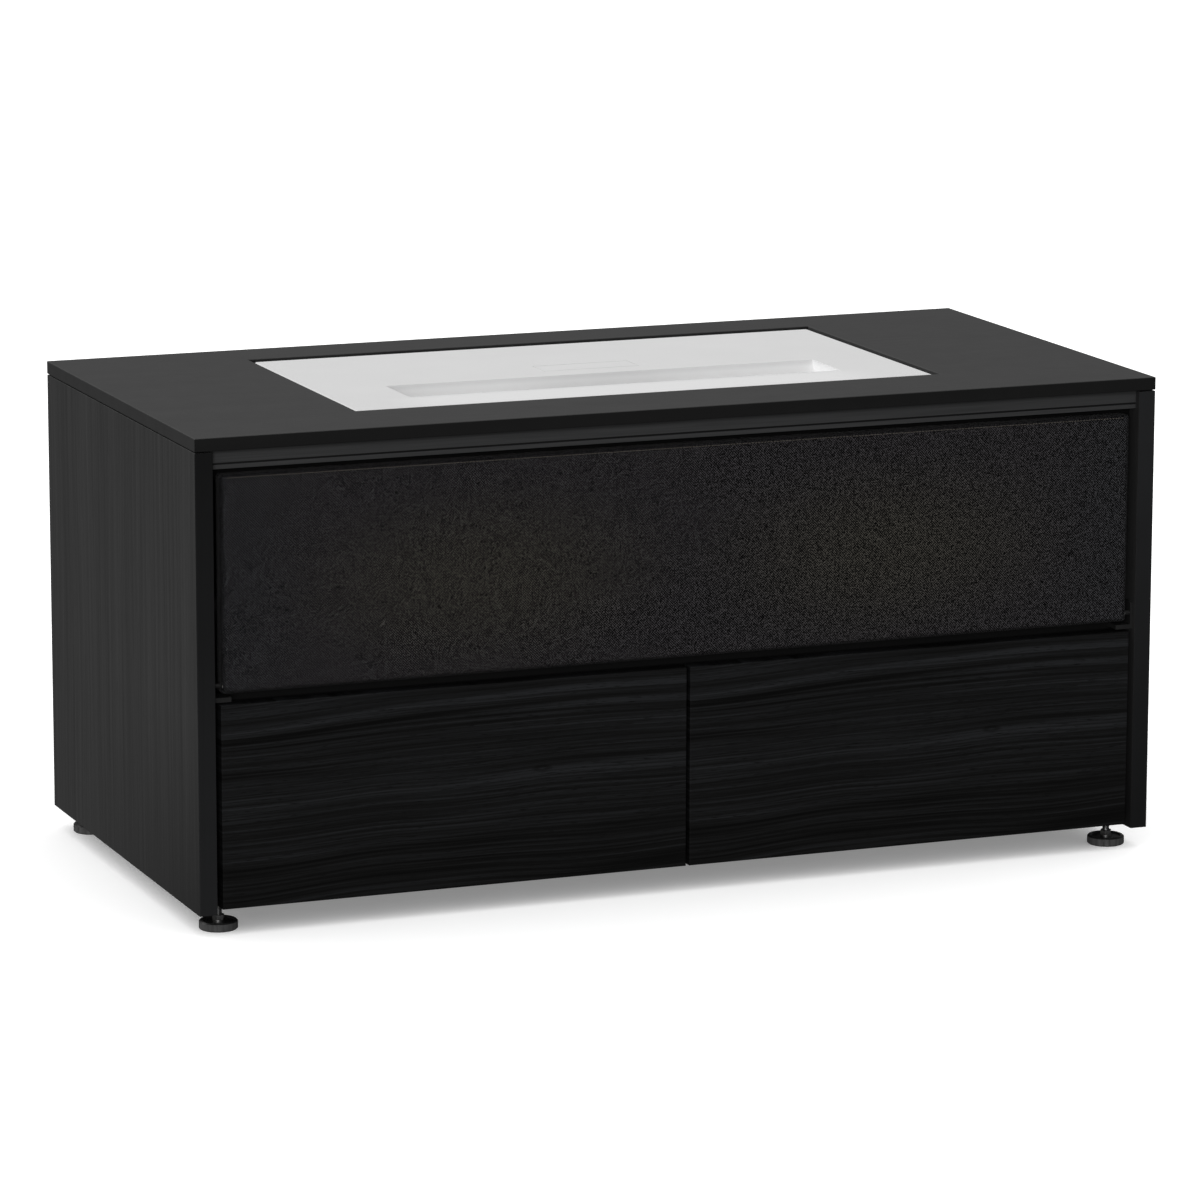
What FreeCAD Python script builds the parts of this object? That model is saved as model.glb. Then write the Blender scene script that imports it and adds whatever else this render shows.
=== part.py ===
"""Low media cabinet with a well for a short-throw projector, a drop-down cloth grille and two drawers.

Millimetres, +Z up, +X to the right, -Y to the front. The origin is on the floor under the cabinet's middle.
"""

import FreeCAD, Part
import math
import os

V = FreeCAD.Vector

# Whole cabinet
WIDTH, DEPTH, HEIGHT = 1110.0, 541.0, 534.0
FLOOR_GAP = 24.0  # floor to the lower edge of the side panels
FRONT, BACK = -DEPTH / 2, DEPTH / 2

# Boards
SIDE_T, TOP_T, BOARD_T, PANEL_T = 19.5, 14.0, 16.0, 6.0
REVEAL = 1.5  # dark line between the top and the sides
GASKET_INSET = 4.0  # foam strips in that line, back from the edges
BEVEL = 0.6
INNER = WIDTH / 2 - SIDE_T  # inner face of a side panel
TOP_UNDER = HEIGHT - TOP_T
BOTTOM_Z = 36.0  # underside of the bottom panel
FLOOR_TOP = BOTTOM_Z + BOARD_T
SHELF_Z = 240.0
SHELF_TOP = SHELF_Z + BOARD_T
REAR_FACE = BACK - 10.0  # front face of the rear panels
CARCASS_FRONT = FRONT + 24.0
SHELF_FRONT = FRONT + 30.0

# Projector and its well
WELL_X, WELL_FRONT, WELL_BACK = 342.0, FRONT + 104.0, FRONT + 470.0
UNIT_X, UNIT_FRONT, UNIT_BACK = 337.0, FRONT + 111.0, FRONT + 463.0
UNIT_TOP, UNIT_H = HEIGHT - 2.0, 128.0
UNIT_FOOT_H = 6.0
UNIT_SEAM = 470.0
UNIT_WALL = 3.0
TRAY_TOP = UNIT_TOP - UNIT_H
SHEET = 2.0
STRAP_T = 3.0
RAIL_WALL = 2.5

# Grille door
DOOR_X, DOOR_Z0, DOOR_Z1 = 526.5, 260.0, 493.2
DOOR_FACE, CLOTH_T, DOOR_T = FRONT + 4.0, 1.0, 17.0
DOOR_BACK = DOOR_FACE + DOOR_T
PIVOT_Y, PIVOT_Z, PIVOT_R = FRONT + 11.5, 268.5, 3.0
STILE = 28.0
CATCH_X = 400.0

# Drawers
FACE_X0, FACE_X1 = 2.0, 529.0
FACE_Z0, FACE_Z1 = 29.0, 249.0
FACE_Y, FACE_T = FRONT + 1.0, 19.0
BOX_Z0, BOX_Z1, BOX_T = 62.0, 222.0, 12.0
BOX_BACK = FRONT + 470.0
BOX_FLOOR_Z, BOX_FLOOR_T, GROOVE = 70.0, 6.0, 5.0
SLIDE_T, SLIDE_Z, SLIDE_Y0, SLIDE_L = 12.7, 182.0, FRONT + 26.0, 440.0
SLIDE_SHEET = 1.2

# Levelling feet
FOOT_X, FOOT_FRONT_Y, FOOT_BACK_Y = 523.0, FRONT + 37.0, BACK - 40.0
PAD_R, PAD_H = 20.75, 9.7
STEM_R, STEM_TOP = 4.0, 48.0
FIT = 0.05  # radial clearance of a running or screwed fit


def box(x0, x1, y0, y1, z0, z1):
    """A block between two corners, given in any order."""
    x0, x1 = sorted((x0, x1))
    y0, y1 = sorted((y0, y1))
    z0, z1 = sorted((z0, z1))
    return Part.makeBox(x1 - x0, y1 - y0, z1 - z0, V(x0, y0, z0))


def rod(radius, start, end):
    """A cylinder from one point to another."""
    start, end = V(*start), V(*end)
    return Part.makeCylinder(radius, (end - start).Length, start, end - start)


def prism(points, along):
    """A solid that sweeps a closed outline of (x, y, z) points along a vector."""
    wire = Part.makePolygon([V(*p) for p in points + points[:1]])
    return Part.Face(wire).extrude(V(*along))


def rails_along_x(outline, half):
    """An extrusion with a (y, z) outline, centred on the YZ plane."""
    return prism([(-half, y, z) for y, z in outline], (2 * half, 0, 0))


def cut(shape, tools):
    """Takes every tool away from a shape."""
    return shape.cut(Part.makeCompound(tools)) if tools else shape


def rounded(shape, radius, wanted):
    """Fillets the edges for which wanted(start, end) holds."""
    edges = [e for e in shape.Edges if len(e.Vertexes) == 2
             and wanted(e.Vertexes[0].Point, e.Vertexes[1].Point)]
    return shape.makeFillet(radius, edges)


def bevelled(shape, size, wanted):
    """Chamfers the edges for which wanted(start, end) holds."""
    edges = [e for e in shape.Edges if len(e.Vertexes) == 2
             and wanted(e.Vertexes[0].Point, e.Vertexes[1].Point)]
    return shape.makeChamfer(size, edges)


def save(node, *solids):
    """Writes one node, which may hold several separate solids."""
    shape = solids[0] if len(solids) == 1 else Part.makeCompound(list(solids))
    shape.exportStep("parts/" + node + ".step")


def mirrored(shape):
    """The same shape on the other side of the YZ plane."""
    return shape.mirror(V(0, 0, 0), V(1, 0, 0))


def both(shape):
    """A shape and its mirror image."""
    return [shape, mirrored(shape)]


# ---------------------------------------------------------------- fasteners

CAM_EDGE, CAM_R, CAM_H = 34.0, 7.5, 12.5
CAM_BOLT_R, CAM_BOLT_IN_SIDE = 3.4, 10.0
CAM_ROWS = [(BOTTOM_Z, y) for y in (-170.0, 0.0, 170.0)] + [(SHELF_Z, y) for y in (-170.0, 0.0, 170.0)]


def cam_bolt(z, y, grow=0.0):
    """The steel bolt that runs from a side panel into the edge of a board."""
    mid = z + BOARD_T / 2
    end = INNER - CAM_EDGE + CAM_R + 0.5
    return rod(CAM_BOLT_R + grow, (INNER + CAM_BOLT_IN_SIDE, y, mid), (end, y, mid))


def cam_lock(z, y, grow=0.0):
    """The round lock that sits in the underside of a board and pulls the bolt in."""
    x = INNER - CAM_EDGE
    lock = rod(CAM_R + grow, (x, y, z), (x, y, z + CAM_H))
    if not grow:
        lock = lock.cut(box(x - 4, x + 4, y - 0.8, y + 0.8, z, z + 1.5))
        lock = lock.cut(box(x - 0.8, x + 0.8, y - 4, y + 4, z, z + 1.5))
    return lock


TOP_SCREW_R, TOP_SCREW_IN_TOP, TOP_SCREW_HEAD_R, TOP_SCREW_HEAD_H = 2.0, 9.0, 4.0, 2.4
RAIL_SCREW_Y = (FRONT + 28.0, BACK - 28.0)
CROSS_SCREW_X, CROSS_SCREW_Y = 367.0, (-150.0, 0.0, 150.0)
TOP_SCREWS = ([(x, y) for y in RAIL_SCREW_Y for x in (-480.0, -160.0, 160.0, 480.0)]
              + [(s * CROSS_SCREW_X, y) for s in (-1, 1) for y in CROSS_SCREW_Y])


def top_screw(x, y):
    """A pan-head screw that comes up through a rail into the top."""
    seat = TOP_UNDER - RAIL_WALL
    shank = rod(TOP_SCREW_R, (x, y, seat), (x, y, TOP_UNDER + TOP_SCREW_IN_TOP))
    head = rod(TOP_SCREW_HEAD_R, (x, y, seat - TOP_SCREW_HEAD_H), (x, y, seat))
    head = head.makeFillet(0.8, [e for e in head.Edges if e.BoundBox.ZMax < seat - 0.1])
    screw = shank.fuse(head).removeSplitter()
    bottom = seat - TOP_SCREW_HEAD_H
    return screw.cut(Part.makeCompound([box(x - 2.2, x + 2.2, y - 0.4, y + 0.4, bottom, bottom + 1.2),
                                        box(x - 0.4, x + 0.4, y - 2.2, y + 2.2, bottom, bottom + 1.2)]))


def top_screw_hole(x, y):
    """The clearance and pilot hole for one top screw."""
    bottom, top = TOP_UNDER - 2 * RAIL_WALL, TOP_UNDER + TOP_SCREW_IN_TOP + 0.5
    return rod(TOP_SCREW_R + FIT, (x, y, bottom), (x, y, top))


# ---------------------------------------------------------------- carcass

def top_panel():
    """The top with its projector well and a fine bevel round its upper edges."""
    board = box(-WIDTH / 2, WIDTH / 2, FRONT, BACK, TOP_UNDER, HEIGHT)
    board = board.cut(box(-WELL_X, WELL_X, WELL_FRONT, WELL_BACK, TOP_UNDER - 1, HEIGHT + 1))
    board = bevelled(board, BEVEL, lambda a, b: a.z > HEIGHT - 0.1 and b.z > HEIGHT - 0.1)
    return cut(board, [top_screw_hole(x, y) for x, y in TOP_SCREWS])


def top_gaskets():
    """Foam strips that hold the top a hair above the side panels."""
    x0, x1 = INNER + GASKET_INSET, WIDTH / 2 - GASKET_INSET
    strip = box(x0, x1, FRONT + GASKET_INSET, BACK - GASKET_INSET, TOP_UNDER - REVEAL, TOP_UNDER)
    return both(strip)


def side_panel():
    """The right side panel, drilled for its bolts and slide screws."""
    panel = box(INNER, WIDTH / 2, FRONT, BACK, FLOOR_GAP, TOP_UNDER - REVEAL)
    panel = bevelled(panel, BEVEL, lambda a, b: a.x > INNER + 1 and b.x > INNER + 1
                     and abs(a.z - b.z) > 100)
    holes = [cam_bolt(z, y, FIT) for z, y in CAM_ROWS] + [slide_screw(1, y, FIT) for y in SLIDE_SCREW_Y]
    return cut(panel, holes)


def bottom_panel():
    """The cabinet's floor, with locks let into its underside and holes for the foot inserts."""
    board = box(-INNER, INNER, CARCASS_FRONT, REAR_FACE, BOTTOM_Z, FLOOR_TOP)
    tools = []
    for z, y in CAM_ROWS[:3]:
        tools += both(cam_bolt(z, y, FIT)) + both(cam_lock(z, y, FIT))
    for x, y in foot_places().values():
        tools.append(rod(INSERT_R + FIT, (x, y, BOTTOM_Z - 1), (x, y, FLOOR_TOP + 1)))
    return cut(board, tools)


NOTCH_X, NOTCH_DEPTH = 110.0, 44.0  # cable notch at the back of the middle shelf


def middle_shelf():
    """The shelf under the speaker bay, with a cable notch at its back edge."""
    board = box(-INNER, INNER, SHELF_FRONT, REAR_FACE, SHELF_Z, SHELF_TOP)
    tools = [box(-NOTCH_X, NOTCH_X, REAR_FACE - NOTCH_DEPTH, REAR_FACE + 1, SHELF_Z - 1, SHELF_TOP + 1)]
    for z, y in CAM_ROWS[3:]:
        tools += both(cam_bolt(z, y, FIT)) + both(cam_lock(z, y, FIT))
    return cut(board, tools)


DIVIDER_X = BOARD_T / 2


def centre_divider():
    """The upright board between the two drawers."""
    board = box(-DIVIDER_X, DIVIDER_X, CARCASS_FRONT + 2, REAR_FACE, FLOOR_TOP, SHELF_Z)
    relief = box(-DIVIDER_X - 1, DIVIDER_X + 1, REAR_FACE - 30, REAR_FACE + 1, SHELF_Z - 60, SHELF_Z + 1)
    holes = [slide_screw(-1, y, FIT) for y in SLIDE_SCREW_Y]
    return cut(board, [relief] + holes + [mirrored(h) for h in holes])


# ---------------------------------------------------------------- rear

REAR_SPLIT = SHELF_Z + BOARD_T / 2
GROMMETS = [(x, z) for z in (130.0, 330.0) for x in (-440.0, 440.0)]
GROMMET_HOLE_R, GROMMET_BORE_R, GROMMET_FLANGE_R = 30.0, 27.0, 36.0
VENT_W, VENT_H, VENT_PITCH, VENTS = 8.0, 110.0, 22.0, 13
VENT_Z0, VENT_X = 262.0, 60.0
LOW_SCREW_Z, SPLIT_SCREW_GAP, HIGH_SCREW_Z = 44.0, 4.0, 505.0
REAR_SCREW_X = (-500.0, -200.0, 200.0, 500.0)
REAR_SCREW_R, REAR_SCREW_L = 1.75, 14.0


def rear_slot(x, z, width, height):
    """One round-ended upright slot through a rear panel."""
    r = width / 2
    y0, y1 = REAR_FACE - 1, BACK
    slot = box(x - r, x + r, y0, y1, z + r, z + height - r)
    for end in (z + r, z + height - r):
        slot = slot.fuse(rod(r, (x, y0, end), (x, y1, end)))
    return slot.removeSplitter()


def rear_screw_places():
    """Every rear panel screw as (x, z)."""
    rows = (LOW_SCREW_Z, REAR_SPLIT - SPLIT_SCREW_GAP, REAR_SPLIT + SPLIT_SCREW_GAP, HIGH_SCREW_Z)
    return [(x, z) for z in rows for x in REAR_SCREW_X]


def rear_panel(z0, z1):
    """One removable rear panel with its grommet holes, vents and screw holes."""
    panel = box(-INNER + 0.5, INNER - 0.5, REAR_FACE, REAR_FACE + PANEL_T, z0, z1)
    holes = [(GROMMET_HOLE_R, x, z) for x, z in GROMMETS]
    holes += [(REAR_SCREW_R, x, z) for x, z in rear_screw_places()]
    tools = [rod(r + FIT, (x, REAR_FACE - 1, z), (x, BACK, z)) for r, x, z in holes if z0 < z < z1]
    if z1 > VENT_Z0:
        for i in range(VENTS):
            x = VENT_X + i * VENT_PITCH
            tools += both(rear_slot(x, VENT_Z0, VENT_W, VENT_H))
    return cut(panel, tools)


def rear_panel_screws():
    """Round-head screws that hold the rear panels on."""
    screws = []
    face = REAR_FACE + PANEL_T
    for x, z in rear_screw_places():
        length = REAR_SCREW_L if z < HIGH_SCREW_Z else PANEL_T + RAIL_WALL + 2
        shank = rod(REAR_SCREW_R, (x, face - length, z), (x, face, z))
        head = rod(3.6, (x, face, z), (x, face + 2.2, z))
        head = head.makeFillet(1.2, [e for e in head.Edges if e.BoundBox.YMin > face + 2.1])
        head = head.cut(box(x - 2.4, x + 2.4, face + 1.2, face + 3, z - 0.4, z + 0.4))
        head = head.cut(box(x - 0.4, x + 0.4, face + 1.2, face + 3, z - 2.4, z + 2.4))
        screws.append(shank.fuse(head).removeSplitter())
    return screws


def rear_screw_hole(x, z):
    """The pilot hole for one rear screw in the board or rail behind the panel."""
    depth = REAR_SCREW_L - PANEL_T + 0.5
    return rod(REAR_SCREW_R + FIT, (x, REAR_FACE - depth, z), (x, REAR_FACE + 1, z))


def cable_grommets():
    """Flanged plastic rings that line the cable holes."""
    rings = []
    outer, inner = REAR_FACE + PANEL_T, REAR_FACE - 4.0
    for x, z in GROMMETS:
        tube = rod(GROMMET_HOLE_R, (x, inner, z), (x, outer, z))
        flange = rod(GROMMET_FLANGE_R, (x, outer, z), (x, outer + SHEET, z))
        flange = flange.makeFillet(1.2, [e for e in flange.Edges if e.BoundBox.YMin > outer + 1.9])
        ring = tube.fuse(flange).removeSplitter()
        rings.append(ring.cut(rod(GROMMET_BORE_R, (x, inner - 1, z), (x, BACK, z))))
    return rings


# ---------------------------------------------------------------- rails under the top

RAIL_FACE = FRONT + 9.0
RAIL_Z0 = 499.0
RAIL_REACH = FRONT + 40.0
GROOVE_Z, GROOVE_H, GROOVE_D = 503.6, 2.0, 1.6
RAIL_FACE_T, LIP_REACH, LIP_T = 4.0, FRONT + 25.0, 2.5
SEAL_Y0, SEAL_Z0 = FRONT + 22.0, 486.0


def front_rail():
    """The extrusion under the front of the top, recessed as a finger pull and grooved along its face."""
    face, back = RAIL_FACE, RAIL_FACE + RAIL_FACE_T
    outline = [
        (face, RAIL_Z0), (LIP_REACH, RAIL_Z0), (LIP_REACH, RAIL_Z0 + LIP_T), (back, RAIL_Z0 + LIP_T),
        (back, TOP_UNDER - RAIL_WALL), (RAIL_REACH, TOP_UNDER - RAIL_WALL), (RAIL_REACH, TOP_UNDER),
        (face, TOP_UNDER), (face, GROOVE_Z + GROOVE_H), (face + GROOVE_D, GROOVE_Z + GROOVE_H),
        (face + GROOVE_D, GROOVE_Z), (face, GROOVE_Z)]
    rail = rails_along_x(outline, INNER)
    return cut(rail, [top_screw_hole(x, y) for x, y in TOP_SCREWS if y == RAIL_SCREW_Y[0]])


def door_seal():
    """The foam strip under the front rail's lip, which closes the gap behind the door's top edge."""
    return box(-INNER + 1, INNER - 1, SEAL_Y0, LIP_REACH, SEAL_Z0, RAIL_Z0)


def rear_rail():
    """The angle under the back of the top, which also takes the rear panel's upper screws."""
    wall = REAR_FACE - RAIL_WALL
    outline = [(BACK - 45, TOP_UNDER), (BACK - 45, TOP_UNDER - RAIL_WALL), (wall, TOP_UNDER - RAIL_WALL),
               (wall, 488.0), (REAR_FACE, 488.0), (REAR_FACE, TOP_UNDER)]
    rail = rails_along_x(outline, INNER)
    holes = [top_screw_hole(x, y) for x, y in TOP_SCREWS if y == RAIL_SCREW_Y[1]]
    holes += [rear_screw_hole(x, HIGH_SCREW_Z) for x in REAR_SCREW_X]
    return cut(rail, holes)


CROSS_X0, CROSS_X1, CROSS_Z0 = WELL_X + 6.0, WELL_X + 38.0, 480.0
STRAP_Y = (-125.0, 145.0)
STRAP_W, STRAP_Z0, STRAP_Z1 = 30.0, 406.0, 514.0
HANGER_BOLT_R, HANGER_HIGH_Z, HANGER_LOW_Z = 2.5, 497.0, 424.0
TRAY_FLANGE_Z = 440.0


def cross_rails():
    """Steel angles beside the well, which carry the projector's hangers."""
    y0, y1 = RAIL_REACH + 2, BACK - 47.0
    outline = [(CROSS_X0, y0, TOP_UNDER), (CROSS_X0, y0, CROSS_Z0), (CROSS_X0 + RAIL_WALL, y0, CROSS_Z0),
               (CROSS_X0 + RAIL_WALL, y0, TOP_UNDER - RAIL_WALL), (CROSS_X1, y0, TOP_UNDER - RAIL_WALL),
               (CROSS_X1, y0, TOP_UNDER)]
    rail = prism(outline, (0, y1 - y0, 0))
    holes = [top_screw_hole(CROSS_SCREW_X, y) for y in CROSS_SCREW_Y]
    holes += [rod(HANGER_BOLT_R + FIT, (CROSS_X0 - 1, y, HANGER_HIGH_Z), (CROSS_X1, y, HANGER_HIGH_Z))
              for y in STRAP_Y]
    return both(cut(rail, holes))


def tray_hangers():
    """Straps with a height slot, between the cross rails and the tray."""
    straps = []
    for y in STRAP_Y:
        x0, x1 = CROSS_X0 - STRAP_T, CROSS_X0
        strap = box(x0, x1, y - STRAP_W / 2, y + STRAP_W / 2, STRAP_Z0, STRAP_Z1)
        strap = rounded(strap, 5.0, lambda a, b: abs(a.x - b.x) > 1)
        r = HANGER_BOLT_R + FIT
        slot = box(x0 - 1, x1 + 1, y - r, y + r, HANGER_HIGH_Z - 12, HANGER_HIGH_Z + 12)
        for z in (HANGER_HIGH_Z - 12, HANGER_HIGH_Z + 12, HANGER_LOW_Z):
            slot = slot.fuse(rod(r, (x0 - 1, y, z), (x1 + 1, y, z)))
        straps += both(strap.cut(slot))
    return straps


def hanger_bolts():
    """Flat-head bolts and nuts that join the straps to the tray and to the cross rails."""
    bolts = []
    for y in STRAP_Y:
        for z, seat, grip in ((HANGER_HIGH_Z, CROSS_X0 - STRAP_T, STRAP_T + RAIL_WALL),
                              (HANGER_LOW_Z, CROSS_X0 - STRAP_T - SHEET, STRAP_T + SHEET)):
            shank = rod(HANGER_BOLT_R, (seat, y, z), (seat + grip + 5.5, y, z))
            head = rod(5.0, (seat - 2.2, y, z), (seat, y, z))
            head = head.cut(hexagon(3.0, (seat - 2.2, y, z), (1.3, 0, 0)))
            nut = hexagon(8.0, (seat + grip, y, z), (4.0, 0, 0))
            bolts += both(shank.fuse(head).fuse(nut).removeSplitter())
    return bolts


def hexagon(across, start, along):
    """A hexagonal prism along X or Z, given its width across the flats."""
    radius = across / math.sqrt(3)
    points = []
    for i in range(6):
        a, b = radius * math.cos(math.radians(60 * i)), radius * math.sin(math.radians(60 * i))
        offset = (0, a, b) if along[0] else (a, b, 0)
        points.append(tuple(s + o for s, o in zip(start, offset)))
    return prism(points, along)


def projector_tray():
    """A folded sheet tray with cooling slots, on which the projector stands."""
    x = CROSS_X0 - STRAP_T
    y0, y1 = UNIT_FRONT - 5, UNIT_BACK + 5
    tray = box(-x, x, y0, y1, TRAY_TOP - SHEET, TRAY_TOP)
    for s in (-1, 1):
        tray = tray.fuse(box(s * (x - SHEET), s * x, y0, y1, TRAY_TOP, TRAY_FLANGE_Z))
    for ya, yb in ((y0, y0 + SHEET), (y1 - SHEET, y1)):
        tray = tray.fuse(box(-x + SHEET, x - SHEET, ya, yb, TRAY_TOP, TRAY_TOP + 10))
    tray = tray.removeSplitter()
    tools = []
    for i in range(9):
        cx = (i - 4) * 62.0
        for ya, yb in ((y0 + 60, y0 + 160), (y1 - 160, y1 - 60)):
            tools.append(box(cx - 16, cx + 16, ya, yb, TRAY_TOP - SHEET - 1, TRAY_TOP + 1))
    for y in STRAP_Y:
        for s in (-1, 1):
            tools.append(rod(HANGER_BOLT_R + FIT, (s * (x - SHEET - 1), y, HANGER_LOW_Z),
                             (s * (x + 1), y, HANGER_LOW_Z)))
    return cut(tray, tools)


# ---------------------------------------------------------------- grille door

FRAME_X, FRAME_FACE = DOOR_X - 0.8, DOOR_FACE + CLOTH_T
FRAME_BACK, FRAME_Z0, FRAME_Z1 = DOOR_BACK - 1.0, DOOR_Z0 + 0.8, DOOR_Z1 - 0.8
MULLION, MULLION_X = 20.0, 176.0
BUSH_R, BUSH_L = 6.0, 20.0
SPLINE_W, SPLINE_D = 4.0, 4.0
SPLINE_INSET = 16.0


def grille_windows():
    """The three open windows of the grille frame as (x0, x1)."""
    edge = FRAME_X - STILE
    return [(-edge, -MULLION_X - MULLION / 2), (-MULLION_X + MULLION / 2, MULLION_X - MULLION / 2),
            (MULLION_X + MULLION / 2, edge)]


def spline_ring(grow=0.0):
    """The ring of cord channel round the back of the frame."""
    x, z0, z1 = FRAME_X - SPLINE_INSET, FRAME_Z0 + SPLINE_INSET, FRAME_Z1 - SPLINE_INSET
    y0 = FRAME_BACK - SPLINE_D - grow
    ring = box(-x - grow, x + grow, y0, FRAME_BACK, z0 - grow, z1 + grow)
    w = SPLINE_W + grow
    return ring.cut(box(-x + w, x - w, y0 - 1, FRAME_BACK + 1, z0 + w, z1 - w))


def grille_frame():
    """The door's frame: rounded front edges, three windows, a spline groove and two bushing bores."""
    frame = box(-FRAME_X, FRAME_X, FRAME_FACE, FRAME_BACK, FRAME_Z0, FRAME_Z1)
    frame = rounded(frame, 3.5, lambda a, b: a.y < FRAME_FACE + 0.1 and b.y < FRAME_FACE + 0.1)
    tools = [box(x0, x1, FRAME_FACE - 1, FRAME_BACK + 1, FRAME_Z0 + STILE, FRAME_Z1 - STILE)
             for x0, x1 in grille_windows()]
    tools.append(spline_ring(FIT))
    x0, x1 = FRAME_X - BUSH_L, FRAME_X + 1
    tools += both(rod(BUSH_R + FIT, (x0, PIVOT_Y, PIVOT_Z), (x1, PIVOT_Y, PIVOT_Z)))
    return cut(frame, tools)


def grille_cloth():
    """The speaker cloth where it crosses the front of the door, with rounded edges."""
    cloth = box(-DOOR_X, DOOR_X, DOOR_FACE, FRAME_FACE, DOOR_Z0, DOOR_Z1)
    return rounded(cloth, 0.7, lambda a, b: a.y < DOOR_FACE + 0.1 and b.y < DOOR_FACE + 0.1)


def pivot_bushings():
    """Flanged plastic bushings pressed into the ends of the door."""
    x0, x1 = FRAME_X - BUSH_L, FRAME_X
    bush = rod(BUSH_R, (x0, PIVOT_Y, PIVOT_Z), (x1, PIVOT_Y, PIVOT_Z))
    return both(bush.cut(rod(PIVOT_R + FIT, (x0 + 2, PIVOT_Y, PIVOT_Z), (x1 + 1, PIVOT_Y, PIVOT_Z))))


BRACKET_T, BRACKET_Y0, BRACKET_Z0, BRACKET_Z1 = 2.5, FRONT + 7.0, 251.0, 282.0
TOE_REACH, TOE_T = 20.0, 5.0
PIN_REACH = 16.0


def pivot_brackets():
    """Steel brackets on the side panels, each with a toe under the door and a riveted pivot pin."""
    plate = box(INNER - BRACKET_T, INNER, BRACKET_Y0, SHELF_FRONT, BRACKET_Z0, BRACKET_Z1)
    plate = rounded(plate, 5.0, lambda a, b: abs(a.x - b.x) > 1 and a.z > BRACKET_Z1 - 1)
    toe = box(INNER - TOE_REACH, INNER - BRACKET_T, BRACKET_Y0, SHELF_FRONT, BRACKET_Z0, BRACKET_Z0 + TOE_T)
    pin = rod(PIVOT_R, (FRAME_X - PIN_REACH, PIVOT_Y, PIVOT_Z), (INNER - BRACKET_T, PIVOT_Y, PIVOT_Z))
    return both(plate.fuse(toe).fuse(pin).removeSplitter())


STRIKE_W, STRIKE_Z0, STRIKE_Z1, STRIKE_T = 40.0, 469.0, 478.5, 1.0
MAGNET_W, MAGNET_T, MAGNET_GAP = 32.0, 4.0, 0.5
CATCH_W, CATCH_Z0, CATCH_BACK = 44.0, 463.0, FRONT + 37.0


def strike_plates():
    """Steel plates on the back of the door for the magnets."""
    plate = box(CATCH_X - STRIKE_W / 2, CATCH_X + STRIKE_W / 2, FRAME_BACK, FRAME_BACK + STRIKE_T,
                STRIKE_Z0, STRIKE_Z1)
    return both(plate)


def magnet(grow=0.0):
    """One catch magnet, standing just behind a strike plate."""
    face = FRAME_BACK + STRIKE_T + MAGNET_GAP
    return box(CATCH_X - MAGNET_W / 2 - grow, CATCH_X + MAGNET_W / 2 + grow, face, face + MAGNET_T + grow,
               STRIKE_Z0 - grow, STRIKE_Z1 + grow)


def catch_housings():
    """Plastic blocks under the front rail that hold the magnets."""
    face = FRAME_BACK + STRIKE_T + MAGNET_GAP
    x0, x1 = CATCH_X - CATCH_W / 2, CATCH_X + CATCH_W / 2
    foot = box(x0, x1, face, CATCH_BACK, CATCH_Z0, STRIKE_Z1 + 5)
    stem = box(x0 + 8, x1 - 8, CATCH_BACK - 6, CATCH_BACK, STRIKE_Z1 + 5, TOP_UNDER - RAIL_WALL)
    return both(foot.fuse(stem).removeSplitter().cut(magnet(FIT)))


# ---------------------------------------------------------------- drawers

BOX_X0, BOX_X1 = DIVIDER_X + SLIDE_T, INNER - SLIDE_T
COVE_R = 9.0


def drawer_front():
    """The right drawer's front, bevelled round its face and coved behind its top edge for the fingers."""
    face = box(FACE_X0, FACE_X1, FACE_Y, FACE_Y + FACE_T, FACE_Z0, FACE_Z1)
    face = bevelled(face, BEVEL, lambda a, b: a.y < FACE_Y + 0.1 and b.y < FACE_Y + 0.1)
    y, z = FACE_Y + FACE_T + 1, FACE_Z1 - COVE_R - 3
    return face.cut(rod(COVE_R, (FACE_X0 + 30, y, z), (FACE_X1 - 30, y, z)))


def drawer_box():
    """The right drawer's two sides, inner front and back, grooved for the bottom."""
    y0 = FACE_Y + FACE_T
    boards = [box(BOX_X0, BOX_X0 + BOX_T, y0, BOX_BACK, BOX_Z0, BOX_Z1),
              box(BOX_X1 - BOX_T, BOX_X1, y0, BOX_BACK, BOX_Z0, BOX_Z1),
              box(BOX_X0 + BOX_T, BOX_X1 - BOX_T, y0, y0 + BOX_T, BOX_Z0, BOX_Z1),
              box(BOX_X0 + BOX_T, BOX_X1 - BOX_T, BOX_BACK - BOX_T, BOX_BACK, BOX_Z0, BOX_Z1)]
    return [b.cut(drawer_bottom()) for b in boards]


def drawer_bottom():
    """The right drawer's bottom, held in the grooves."""
    reach = BOX_T - GROOVE
    return box(BOX_X0 + reach, BOX_X1 - reach, FACE_Y + FACE_T + reach, BOX_BACK - reach,
               BOX_FLOOR_Z, BOX_FLOOR_Z + BOX_FLOOR_T)


def channel(x_web, x_lip, half, y0=SLIDE_Y0, length=SLIDE_L):
    """A C-section rail: its web at x_web, its flanges reaching to x_lip, half its height each way."""
    s = math.copysign(1, x_lip - x_web)
    rail = box(x_web, x_web + s * SLIDE_SHEET, y0, y0 + length, SLIDE_Z - half, SLIDE_Z + half)
    for z in (half, -half):
        inside = z - math.copysign(SLIDE_SHEET, z)
        rail = rail.fuse(box(x_web, x_lip, y0, y0 + length, SLIDE_Z + inside, SLIDE_Z + z))
    return rail.removeSplitter()


def slide_sets():
    """The right drawer's two slides as (cabinet face, drawer face)."""
    return [(INNER, BOX_X1), (DIVIDER_X, BOX_X0)]


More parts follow.
